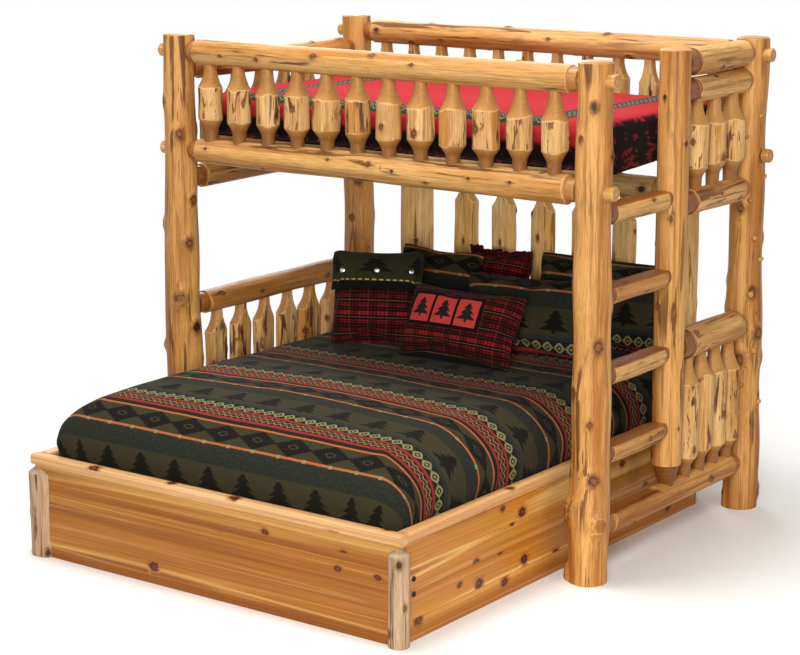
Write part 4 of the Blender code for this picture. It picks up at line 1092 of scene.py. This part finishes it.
def spread_material(name):
    """Olive blanket cloth with bands of pines, teal, stepped diamonds, red stripes, zigzags and gold lace."""
    s, cloth, across, along = cloth_shader(name)
    wobble = s.noise(cloth, (160, 160, 1), 1) * 0.004 - 0.002
    across, along = across + wobble, along + wobble
    rise = s.math("FLOORED_MODULO", along, SPREAD_PERIOD)
    stops = [(start / SPREAD_PERIOD, colour) for start, colour in SPREAD_BANDS]
    colour = s.ramp(rise / SPREAD_PERIOD, stops, "CONSTANT")
    mottle = s.noise(cloth, (60, 95, 1), 2, 0.6) > 0.48
    colour = s.mix(mottle * rise.between(0.118, 0.186), colour, "2B2C20")
    tick = (row_share(across, 0.12) < 0.008) * rise.between(0.188, 0.202)
    colour = s.mix(tick, colour, GOLD)
    colour = s.mix(pines(across, rise, 0.17, 0.024, 0.084), colour, DARK)
    colour = s.mix(diamonds(across, rise, 0.17, 0.245, 0.078, 0.006, 0.25), colour, DARK)
    for middle in (0.3475, 0.3725):
        colour = s.mix(zigzag(across, rise, 0.03, middle, 0.006, 0.0028), colour, GOLD)
    colour = s.mix(diamonds(across, rise, 0.018, 0.36, 0.012, 0.001), colour, RED)
    lace = diamonds(across, rise, 0.05, 0.429, 0.052, 0.003, 0.5)
    colour = s.mix(lace * rise.between(0.405, 0.453), colour, GOLD)
    return wool(s, cloth, colour)


# The blanket's woven frame, as places on the mattress, and the DARK places past which its hanging border is
# darkened with painted shade
FRAME_X = 0.71
FRAME_FRONT = 0.03
FRAME_BACK = 0.95
FRAME_HALF = 0.048
DARK_X = 0.925
DARK_FRONT = -0.08
DARK_BACK = 1.03
# BLANKET_SHADE is painted shade on the hanging border; BLANKET_DARK colours its pines and dark strokes
BLANKET_RED, BLANKET_SHADE, BLANKET_DARK = "CE3036", "7C191C", "190C0B"


def blanket_material(name):
    """Red blanket cloth with a green frame of gold zigzags, and outside it a hanging border of dark pines,
    darkened with painted shade.
    """
    s, cloth, x, y = cloth_shader(name)
    ends = FRAME_X - abs(x)
    sides = s.math("MINIMUM", y - FRAME_FRONT, FRAME_BACK - y)
    rise = s.math("MINIMUM", ends, sides)
    at_end = ends < sides
    run = at_end * y + (1.0 - at_end) * x
    worn = s.noise(cloth, (60, 14, 1), 3, 0.6)
    colour = s.mix(s.step(worn, 0.55, 0.75, 0.0, 0.35), BLANKET_RED, "D9474A")
    # The hanging border is darkened with painted shade; its pines are print, and its dark strokes are partly
    # print and partly painted shade
    outside = (abs(x) - DARK_X) | (DARK_FRONT - y) | (y - DARK_BACK)
    colour = s.mix(s.step(outside, -0.02, 0.05), colour, BLANKET_SHADE)
    strokes = s.noise(cloth, (34, 11, 1), 3, 0.65) > 0.47
    trees = pines(run, outside, 0.16, 0.03, 0.2) | pines(run + 0.08, outside, 0.16, 0.0, 0.13)
    dark = trees | (strokes * s.step(outside, 0.0, 0.04))
    colour = s.mix(dark * s.step(outside, -0.005, 0.02), colour, BLANKET_DARK)
    colour = s.mix(abs(rise) < FRAME_HALF, colour, "36443A")
    for middle in (-0.022, 0.0, 0.022):
        colour = s.mix(zigzag(run, rise, 0.034, middle, 0.009, 0.0034), colour, "9A9068")
    return wool(s, cloth, colour)


PLAID_ROW = 0.037
PLAID_COLUMN = 0.0165


def plaid_colour(s, across, along, bright, shade):
    """Tartan: rows of red blocks on a dark ground, bright and dim in turn, with dark and thin gold lines."""
    row_pitch, column = PLAID_ROW, PLAID_COLUMN
    away = row_share(along, row_pitch)
    bar = s.step(away, 0.25 * row_pitch, 0.2 * row_pitch)
    bar = bar * s.step(away, 0.02 * row_pitch, 0.05 * row_pitch, 0.4, 1.0)
    dim = s.step(row_share(along, 4 * row_pitch), row_pitch, 1.3 * row_pitch, 0.4, 1.0)
    broad = s.step(row_share(across, 5 * column), 0.9 * column, 1.2 * column, 0.45, 1.0)
    block = s.step(row_share(across, column), 0.10 * column, 0.16 * column, 0.25, 1.0)
    colour = s.mix(block * 0.35, "0C0B0B", shade)
    colour = s.mix(s.step(away, 0.44 * row_pitch, 0.47 * row_pitch) * block * 0.4, colour, bright)
    colour = s.mix(bar * block * dim * broad, colour, bright)
    for place, pitch, share in ((across, 5 * column, 0.15), (along, 2 * row_pitch, 0.4)):
        line = row_share(place + pitch * 0.25, pitch) < 0.0013
        colour = s.mix(line * share, colour, "8E7A45")
    return colour


PANEL_CENTRE = (-0.05, 0.035)
PANEL_PITCH = 0.118
PANEL_HALF = 0.066


def plaid_material(name, bright="9E2320", shade="30100E", panel=False):
    """Tartan wool, with an applied panel of three coral patches where asked."""
    s, cloth, across, along = cloth_shader(name)
    colour = plaid_colour(s, across, along, bright, shade)
    if panel:
        right, up = across - PANEL_CENTRE[0], along - PANEL_CENTRE[1]
        inside = (abs(right) < 1.5 * PANEL_PITCH + 0.012) * (abs(up) < PANEL_HALF + 0.01)
        colour = s.mix(inside, colour, "12100F")
        patch = row_share(right, PANEL_PITCH) < PANEL_PITCH / 2 - 0.007
        patch = patch * (abs(right) < 1.5 * PANEL_PITCH) * (abs(up) < PANEL_HALF - 0.006)
        colour = s.mix(patch, colour, "D6453F")
        colour = s.mix(pines(right, up, PANEL_PITCH, -0.028, 0.072) * patch, colour, "2A2422")
    return wool(s, cloth, colour)


def flap_material(name):
    """Olive wool with a row of pines, a line of gold stitches and a black gathered hem."""
    s, cloth, across, along = cloth_shader(name)
    colour = s.mix(pines(across, along, 0.14, 0.075, 0.075), "33331F", DARK)
    colour = s.mix(along < 0.033, colour, "12110F")
    stitch = along.between(0.036, 0.042) * (row_share(across, 0.02) < 0.006)
    return wool(s, cloth, s.mix(stitch, colour, "C2A85A"))


def ticking_material():
    s = Shader("ticking")
    cloth = s.node("TexCoord", out="Object")
    weave = s.noise(cloth, (220, 220, 220), 2)
    s.bump(weave, 0.001, 0.4)
    return s.done(s.ramp(weave, ((0.3, "CFC9BC"), (0.7, "E6E1D6"))), 0.9)


# Bedding


CLOTH_THICKNESS = 0.004
CROWN_SHARE = 0.62


def rolled(excess, radius):
    """Reach and drop of cloth that runs past an edge, over a round of that radius and then straight down."""
    angle = np.clip(excess / radius, 0, math.pi / 2)
    drop = radius * (1 - np.cos(angle)) + np.maximum(excess - radius * math.pi / 2, 0)
    return radius * np.sin(angle), drop


def ripples(spots, amounts, seed):
    """Soft unevenness of a lying cloth, as a height for each of its points."""
    heights = np.zeros(spots.shape[:-1])
    for size, height in amounts:
        for place in np.ndindex(heights.shape):
            x, y, z = spots[place]
            heights[place] += height * noise.noise(Vector((x / size + seed, y / size - seed, z / size)))
    return heights


def grid_normals(spots):
    along = np.gradient(spots, axis=0)
    across = np.gradient(spots, axis=1)
    normal = np.cross(across, along)
    length = np.linalg.norm(normal, axis=-1, keepdims=True)
    return normal / np.maximum(length, 1e-9)


def drape(low, high, radius, hang, crown, ends, steps):
    """Cloth lying on a mattress and hanging over its edges, as points, flat cloth places and drops.

    ends says at which of the low X, high X, low Y and high Y edges it hangs over.
    """
    size = high - low
    arc = radius * math.pi / 2 + hang - radius
    spans = []
    for axis in (0, 1):
        first = -(arc if ends[2 * axis] else 0.0)
        start = low[axis] + (radius if ends[2 * axis] else 0.0)
        stop = high[axis] - (radius if ends[2 * axis + 1] else 0.0)
        last = stop - start + (arc if ends[2 * axis + 1] else 0.0)
        spans.append((first, last, start, stop))
    flat = np.meshgrid(*[np.linspace(*span[:2], count) for span, count in zip(spans, steps)], indexing="xy")
    inner = [np.clip(places, 0, span[3] - span[2]) for places, span in zip(flat, spans)]
    over = [places - held for places, held in zip(flat, inner)]
    excess = (np.abs(over[0]) ** 6 + np.abs(over[1]) ** 6) ** (1 / 6)
    reach, drop = rolled(excess, radius)
    square = 2 + 7 * np.clip(drop / radius, 0, 1)
    length = (np.abs(over[0]) ** square + np.abs(over[1]) ** square) ** (1 / square)
    length = np.maximum(length, 1e-9)
    x = spans[0][2] + inner[0] + reach * over[0] / length
    y = spans[1][2] + inner[1] + reach * over[1] / length
    share_x = (x - low.x) / size.x * 2 - 1
    share_y = np.clip((y - low.y) / size.y / CROWN_SHARE, 0, 1)
    rise = crown * (1 - share_x ** 2) * np.sin(math.pi * share_y) ** 2
    spots = np.stack([x, y, high.z + rise - drop], -1)
    return spots, flat[0] - spans[0][0], flat[1] - spans[1][0], drop


def cloth_piece(name, spots, cloth, body, material):
    """A sheet on a grid of points, with its flat cloth places for the pattern."""
    rows, columns = spots.shape[:2]
    faces = [(r * columns + c, r * columns + c + 1, (r + 1) * columns + c + 1, (r + 1) * columns + c)
             for r in range(rows - 1) for c in range(columns - 1)]
    places = {"cloth": cloth.reshape(-1, 3)}
    made = piece(name, spots.reshape(-1, 3), faces, body, [], material, places, sharp=180)
    thick = made.modifiers.new("cloth", "SOLIDIFY")
    thick.thickness = CLOTH_THICKNESS
    thick.offset = -1.0


def mattress_piece(name, node, low, high, radius, roll, body):
    """A stuffed block with round edges under the cloth; radius rounds it up and down, roll in plan."""
    form = bmesh.new()
    bmesh.ops.create_cube(form, size=2.0)
    bmesh.ops.subdivide_edges(form, edges=form.edges[:], cuts=15, use_grid_fill=True)
    middle, half = (low + high) / 2, (high - low) / 2
    rounds = Vector((roll, roll, radius))
    core = half - rounds
    for vert in form.verts:
        spot = vert.co * half
        held = Vector([max(min(place, limit), -limit) for place, limit in zip(spot, core)])
        out = Vector([(spot[axis] - held[axis]) / rounds[axis] for axis in range(3)])
        if out.length > 0:
            spot = held + out.normalized() * rounds
        vert.co = middle + spot
    made = placed(name, smooth_mesh(name, form), body, [node], TICKING)


def inset(node, gap, top):
    low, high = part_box(node)
    return low + Vector((gap, gap, PAD_RISE)), Vector((high.x - gap, high.y - gap, top))


LOWER_TOP = 0.6454
LOWER_CROWN = 0.035
LOWER_ROLL = 0.2
LOWER_HANG = 0.29
LOWER_BELLY = 0.016
PAD_INSET = 0.03
PAD_RISE = 0.002
SPREAD_INSET = 0.001
HEAD_GAP = 0.012
BLANKET_INSET = 0.002
SPREAD_START = -0.03
UPPER_ROLL = 0.055
UPPER_HANG = 0.215
UPPER_CROWN = 0.012
HEM_RISE = 0.024
HEM_TURN = 1.0


def build_spread():
    low, high = inset("lower_mattress", PAD_INSET, LOWER_TOP - PAD_INSET)
    roll = (high.z - low.z) / 2.02
    mattress_piece("lower_mattress_pad", "lower_mattress", low, high, roll, LOWER_ROLL, "lower_bedding")
    low, high = inset("lower_mattress", SPREAD_INSET, LOWER_TOP)
    high.y -= HEAD_GAP
    spots, across, along, drop = drape(low, high, LOWER_ROLL, LOWER_HANG, LOWER_CROWN,
                                       (True, True, True, False), (150, 160))
    hanging = np.clip(drop / LOWER_HANG, 0, 1)
    normal = grid_normals(spots)
    uneven = ripples(spots, ((0.45, 0.006), (0.16, 0.003)), 3.1)
    pleats = 0.004 * np.sin((across + along) * 46 + 3 * np.sin(across * 5)) * hanging ** 2
    belly = LOWER_BELLY * np.sin(math.pi * hanging) ** 2
    spots = spots + normal * (uneven * (1 - 0.5 * hanging) + pleats + belly - CLOTH_THICKNESS)[..., None]
    cloth = np.stack([across, along + SPREAD_START, np.zeros_like(across)], -1)
    cloth_piece("bedspread", spots, cloth, "lower_bedding", SPREAD)


def build_blanket():
    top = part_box("upper_mattress")[1].z - UPPER_CROWN
    low, high = inset("upper_mattress", PAD_INSET, top - PAD_INSET)
    mattress_piece("upper_mattress_pad", "upper_mattress", low, high, UPPER_ROLL, UPPER_ROLL,
                   "upper_mattress")
    low, high = inset("upper_mattress", BLANKET_INSET, top)
    spots, across, along, drop = drape(low, high, UPPER_ROLL, UPPER_HANG, UPPER_CROWN, (True,) * 4, (150, 90))
    hanging = np.clip(drop / UPPER_HANG, 0, 1)
    normal = grid_normals(spots)
    uneven = ripples(spots, ((0.3, 0.004), (0.12, 0.002)), 7.7)
    pleats = 0.003 * np.sin((across + along) * 40 + 3 * np.sin(across * 6)) * hanging ** 2
    spots = spots + normal * (uneven * (1 - 0.6 * hanging) + pleats - CLOTH_THICKNESS)[..., None]
    beyond = np.clip((spots[..., 0] - high.x + UPPER_ROLL) / UPPER_ROLL, 0, 1)
    back = np.clip((spots[..., 1] - low.y) / (LADDER_Y - low.y), 0, 1)
    spots[..., 2] += HEM_RISE * hanging * beyond * back
    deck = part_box("upper_deck")[1].z + 2 * CLOTH_THICKNESS
    under = np.clip(deck - spots[..., 2], 0, None)
    outward = np.sign(spots[..., 1] - (low.y + high.y) / 2)
    over_side = (np.abs(spots[..., 0]) < high.x - 0.01) & (under > 0)
    spots[..., 1] += np.where(over_side, outward * under * HEM_TURN, 0)
    spots[..., 2] += np.where(over_side, under * 0.96, 0)
    arc = UPPER_ROLL * math.pi / 2 + UPPER_HANG - UPPER_ROLL
    edge_x, edge_y = low.x + UPPER_ROLL - arc, low.y + UPPER_ROLL - arc
    cloth = np.stack([across + edge_x, along + edge_y, np.zeros_like(across)], -1)
    cloth_piece("blanket", spots, cloth, "upper_mattress", BLANKET)


# Pillows: width, height and thickness as in the solids, lean and turn in degrees, cloth and where it starts
PILLOWS = {
    "pillow_back_left": (0.47, 0.425, 0.14, 18.0, 0.0, "spread", -0.1),
    "pillow_back_middle": (0.36, 0.4, 0.13, 18.0, 0.0, "bright_plaid", 0.0),
    "pillow_back_right": (0.71, 0.455, 0.14, 18.0, 0.0, "spread", -0.13),
    "pillow_buttoned": (0.44, 0.455, 0.15, 18.0, 28.0, "plaid", 0.0),
    "pillow_large_right": (0.6, 0.385, 0.15, 22.0, 12.0, "spread", -0.1),
    "pillow_lumbar": (0.6, 0.36, 0.14, 28.0, 0.0, "panel_plaid", 0.0),
}
PILLOW_CUTS = 34
PILLOW_SLACK = 0.004
PILLOW_LOFT = 0.012
PILLOW_SEAM = 0.010
PILLOW_PINCH = 0.03
PILLOW_ROUND = 0.07
PILLOW_FULLNESS = 0.42
PILLOW_CAP = 0.028
SIM_FRAMES = 20
PUFF_SETTINGS = {
    "quality": 4, "mass": 0.2, "tension_stiffness": 18, "compression_stiffness": 18, "shear_stiffness": 6,
    "bending_stiffness": 0.4, "use_pressure": True, "uniform_pressure_force": 4.0,
}
FLAP_FIRST_ROW = 18
FLAP_LIFT = 0.006
BUTTON_COLUMNS = (9, 17, 25)
BUTTON_ROW = 4
BUTTON_RADIUS = 0.0125
BUTTON_RISE = 0.005
RUFFLE_STEPS = 120
RUFFLE_ROWS = 5
RUFFLE_HEIGHT = 0.03
RUFFLE_WAVE = 0.008
FLAP = flap_material("flap_wool")
TICKING = ticking_material()
SPREAD = spread_material("bedspread_wool")
BLANKET = blanket_material("blanket_wool")
PILLOW_CLOTHS = {
    "spread": SPREAD,
    "plaid": plaid_material("plaid_wool"),
    "bright_plaid": plaid_material("bright_plaid_wool", "CC302A", "5C1917"),
    "panel_plaid": plaid_material("panel_plaid_wool", panel=True),
}


def pillow_form(width, height, thickness):
    """A pillow lying flat: front and back grids that share the seam round them."""
    count = PILLOW_CUTS
    shares = np.sin(np.linspace(-math.pi / 2, math.pi / 2, count))
    u, v = np.meshgrid(shares, shares, indexing="xy")
    fullness = np.clip((1 - u ** 2) * (1 - v ** 2), 0, None) ** PILLOW_FULLNESS
    x = u * width / 2 * (1 - PILLOW_PINCH * (1 - v ** 2)) * np.sqrt(1 - PILLOW_ROUND * v ** 6)
    y = (1 + v * (1 - PILLOW_PINCH * (1 - u ** 2)) * np.sqrt(1 - PILLOW_ROUND * u ** 6)) * height / 2
    front = np.stack([x, y, (thickness - PILLOW_SEAM) / 2 * fullness], -1)
    rim = (np.abs(u) > 0.9999) | (np.abs(v) > 0.9999)
    front_at = np.arange(count * count).reshape(count, count)
    back_at = front_at.copy()
    back_at[~rim] = count * count + np.arange((~rim).sum())
    verts = np.concatenate([front.reshape(-1, 3), (front * (1, 1, -1))[~rim]])
    faces = []
    for r in range(count - 1):
        for c in range(count - 1):
            for table, order in ((front_at, 1), (back_at, -1)):
                quad = (table[r, c], table[r, c + 1], table[r + 1, c + 1], table[r + 1, c])
                faces.append(tuple(int(place) for place in quad[::order]))
    return verts, faces


def puff(pillows):
    """Blows the pillows up as cloth for a few frames and keeps the result, capped."""
    scene = bpy.context.scene
    for made in pillows:
        cloth = made.modifiers.new("puff", "CLOTH")
        for key, value in PUFF_SETTINGS.items():
            setattr(cloth.settings, key, value)
        cloth.settings.effector_weights.gravity = 0.0
        cloth.point_cache.frame_start = 1
        cloth.point_cache.frame_end = SIM_FRAMES
    for number in range(1, SIM_FRAMES + 1):
        scene.frame_set(number)
    graph = bpy.context.evaluated_depsgraph_get()
    for made in pillows:
        count = len(made.data.vertices)
        before, after = np.empty(count * 3), np.empty(count * 3)
        made.data.vertices.foreach_get("co", before)
        made.evaluated_get(graph).data.vertices.foreach_get("co", after)
        move = (after - before).reshape(-1, 3)
        length = np.linalg.norm(move, axis=1, keepdims=True)
        move *= np.minimum(1.0, PILLOW_CAP / np.maximum(length, 1e-9))
        made.modifiers.remove(made.modifiers["puff"])
        made.data.vertices.foreach_set("co", (before.reshape(-1, 3) + move).ravel())
        made.data.update()
    scene.frame_set(1)


def stand_up(made, node, lean, turn):
    """Stands a pillow on its lower edge, leaning, in its solid's place."""
    tilt = Matrix.Rotation(math.radians(90 - lean), 4, "X")
    made.data.transform(Matrix.Rotation(math.radians(turn), 4, "Z") @ tilt)
    corners = np.array([vert.co for vert in made.data.vertices])
    middle = (corners.min(0) + corners.max(0)) / 2
    centre = box_centre(node)
    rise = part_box(node)[0].z - corners[:, 2].min()
    made.data.transform(Matrix.Translation((centre.x - middle[0], centre.y - middle[1], rise)))
    made.data.update()


def surface_grid(cover):
    """A pillow's front as a grid of points, rows from its foot up, with the normals there."""
    count = PILLOW_CUTS * PILLOW_CUTS
    spots = np.array([vert.co for vert in cover.data.vertices[:count]]).reshape(PILLOW_CUTS, PILLOW_CUTS, 3)
    normals = grid_normals(spots)
    if normals[..., 1].mean() > 0:
        normals = -normals
    return spots, normals


def run_length(spots):
    """Length of a line of points."""
    return float(np.linalg.norm(np.diff(spots, axis=0), axis=1).sum())


def build_flap(cover):
    """A buttoned flap over the upper part of a pillow's front, with a dark hem that stands off."""
    spots, normals = surface_grid(cover)
    flap, facing = spots[FLAP_FIRST_ROW:-1], normals[FLAP_FIRST_ROW:-1]
    rows, columns = flap.shape[:2]
    free = np.linspace(1, 0, rows)[:, None] ** 2
    scallop = 0.004 * np.sin(np.linspace(0, 3 * math.tau, columns))[None, :]
    flap = flap + facing * (FLAP_LIFT + (0.008 + scallop) * free)[..., None]
    steps = np.linalg.norm(np.diff(flap, axis=0), axis=-1)
    rise = np.concatenate([np.zeros((1, columns)), np.cumsum(steps, axis=0)])
    side = np.linspace(-0.5, 0.5, columns)[None, :] * PILLOWS["pillow_buttoned"][0]
    cloth = np.stack([np.broadcast_to(side, rise.shape), rise, np.zeros_like(rise)], -1)
    size = (run_length(flap[0]), run_length(flap[:, columns // 2]))
    cloth_piece("pillow_flap", flap, cloth, "lower_bedding", FLAP)
    for number, column in enumerate(BUTTON_COLUMNS, 1):
        outward = facing[BUTTON_ROW, column]
        button(f"pillow_button_{number}", flap[BUTTON_ROW, column] + outward * 0.002, outward, BUTTON_RADIUS,
               BUTTON_RISE, "lower_bedding", PEWTER)


def build_ruffle(cover):
    """A gathered frill along a pillow's top edge."""
    spots, _ = surface_grid(cover)
    share = np.linspace(0, PILLOW_CUTS - 1, RUFFLE_STEPS)
    foot = np.stack([np.interp(share, range(PILLOW_CUTS), spots[-1, :, axis]) for axis in range(3)], -1)
    away = np.array((0.0, -0.3, 1.0)) / math.hypot(0.3, 1.0)
    rows = []
    for rise in np.linspace(-0.15, 1, RUFFLE_ROWS):
        wave = RUFFLE_WAVE * max(rise, 0) * np.sin(share * 2.1 + 1.3 * np.sin(share * 0.7))
        lift = RUFFLE_HEIGHT * rise * (1 + 0.15 * np.sin(share * 0.9))
        rows.append(foot + away * lift[:, None] + np.array((0.0, 1.0, 0.3)) * wave[:, None])
    frill = np.array(rows)
    across, up = np.meshgrid(share * 0.012, np.linspace(0, RUFFLE_HEIGHT, RUFFLE_ROWS), indexing="xy")
    cloth = np.stack([across, up, np.zeros_like(up)], -1)
    size = (run_length(frill[RUFFLE_ROWS // 2]), run_length(frill[:, RUFFLE_STEPS // 2]))
    cloth_piece("pillow_ruffle", frill, cloth, "lower_bedding", PILLOW_CLOTHS["bright_plaid"])


def build_pillows():
    made = {}
    for node, (width, height, thickness, _, _, cloth, start) in PILLOWS.items():
        verts, faces = pillow_form(width - PILLOW_SLACK, height - PILLOW_SLACK, thickness - PILLOW_LOFT)
        places = np.stack([verts[:, 0], verts[:, 1] + start, np.zeros(len(verts))], -1)
        if cloth != "spread":
            places[:, 1] -= height / 2
        made[node] = piece(f"{node}_cover", verts, faces, "lower_bedding", [node], PILLOW_CLOTHS[cloth],
                           {"cloth": places}, sharp=180)
    puff(list(made.values()))
    for node, cover in made.items():
        lean, turn = PILLOWS[node][3:5]
        stand_up(cover, node, lean, turn)
        smooth = cover.modifiers.new("smooth", "SUBSURF")
        smooth.levels = smooth.render_levels = 1
    build_flap(made["pillow_buttoned"])
    build_ruffle(made["pillow_back_middle"])


# Stage


FLOOR_GLOW = 0.35
FLOOR_SPAN = 60.0
FLOOR_FADE = (1.3, 3.0)
WORLD_FILL = 0.3
LAMP_TARGET = (0.0, 0.0, 0.9)


def background_rays(nodes):
    """1 for rays that show the background: the camera's own, and those off a mirror or through glass."""
    kinds = ("Is Camera Ray", "Is Glossy Ray", "Is Transmission Ray")
    camera, glossy, through = [nodes.node("LightPath", out=kind) for kind in kinds]
    return camera | glossy | through


def build_stage():
    form = bmesh.new()
    bmesh.ops.create_grid(form, x_segments=1, y_segments=1, size=FLOOR_SPAN)
    mesh = bpy.data.meshes.new("floor")
    form.to_mesh(mesh)
    form.free()
    s = Shader("floor")
    place = s.node("TexCoord", out="Object")
    fade = s.step(s.vector("LENGTH", place, out="Value"), *FLOOR_FADE)
    glow = s.node("Emission", (rgb("FFFFFF"), s.step(background_rays(s), 0.0, 1.0, FLOOR_GLOW, 1.0)))
    s.done(rgb("F4F2EE"), 0.9)
    blended = s.node("MixShader", (fade, Wire(s, s.surface.outputs[0]), glow))
    s.put(s.tree.nodes["Material Output"].inputs["Surface"], blended)
    mesh.materials.append(s.material)
    floor = bpy.data.objects.new("floor", mesh)
    bpy.context.scene.collection.objects.link(floor)


LAMPS = (
    ("key", (4.6, -5.4, 5.6), 2.0, 245.0),
    ("top", (-0.6, -0.6, 6.4), 2.6, 310.0),
    ("side", (7.0, -0.6, 3.0), 3.0, 80.0),
    ("low", (4.0, -6.8, 1.9), 2.0, 290.0),
    ("back", (-4.6, 5.6, 4.2), 3.0, 170.0),
)


def build_lights():
    scene = bpy.context.scene
    scene.view_settings.view_transform = "Standard"
    world = bpy.data.worlds.new("studio")
    scene.world = world
    world.use_nodes = True
    nodes = Nodes(world.node_tree)
    sky = nodes.tree.nodes["Background"]
    nodes.put(sky.inputs["Strength"], nodes.step(background_rays(nodes), 0.0, 1.0, WORLD_FILL, 1.0))
    sky.inputs["Color"].default_value = (1.0, 1.0, 1.0, 1.0)
    for name, place, size, power in LAMPS:
        lamp = bpy.data.lights.new(name, "AREA")
        lamp.size = size
        lamp.energy = power
        made = bpy.data.objects.new(name, lamp)
        made.location = place
        made.rotation_euler = (Vector(LAMP_TARGET) - Vector(place)).to_track_quat("-Z", "Y").to_euler()
        scene.collection.objects.link(made)


def build_camera():
    level = Vector((math.sin(CAMERA_YAW), math.cos(CAMERA_YAW), 0)) * math.cos(CAMERA_PITCH)
    ahead = level - Vector((0, 0, math.sin(CAMERA_PITCH)))
    right = Vector((math.cos(CAMERA_YAW), -math.sin(CAMERA_YAW), 0))
    up = right.cross(ahead)
    turned_right = math.cos(CAMERA_ROLL) * right + math.sin(CAMERA_ROLL) * up
    turned_up = -math.sin(CAMERA_ROLL) * right + math.cos(CAMERA_ROLL) * up
    lens = bpy.data.cameras.new("camera")
    lens.lens = CAMERA_LENS
    lens.sensor_width = CAMERA_SENSOR
    lens.clip_end = CAMERA_CLIP
    made = bpy.data.objects.new("camera", lens)
    turn = Matrix((turned_right, turned_up, -ahead)).transposed().to_4x4()
    made.matrix_world = Matrix.Translation(CAMERA_PLACE) @ turn
    bpy.context.scene.collection.objects.link(made)
    bpy.context.scene.camera = made


build_posts()
build_ladder_post()
build_rails()
build_spindles()
build_headboard()
build_boards()
build_corner_posts()
build_spread()
build_blanket()
build_pillows()
build_stage()
build_lights()
build_camera()
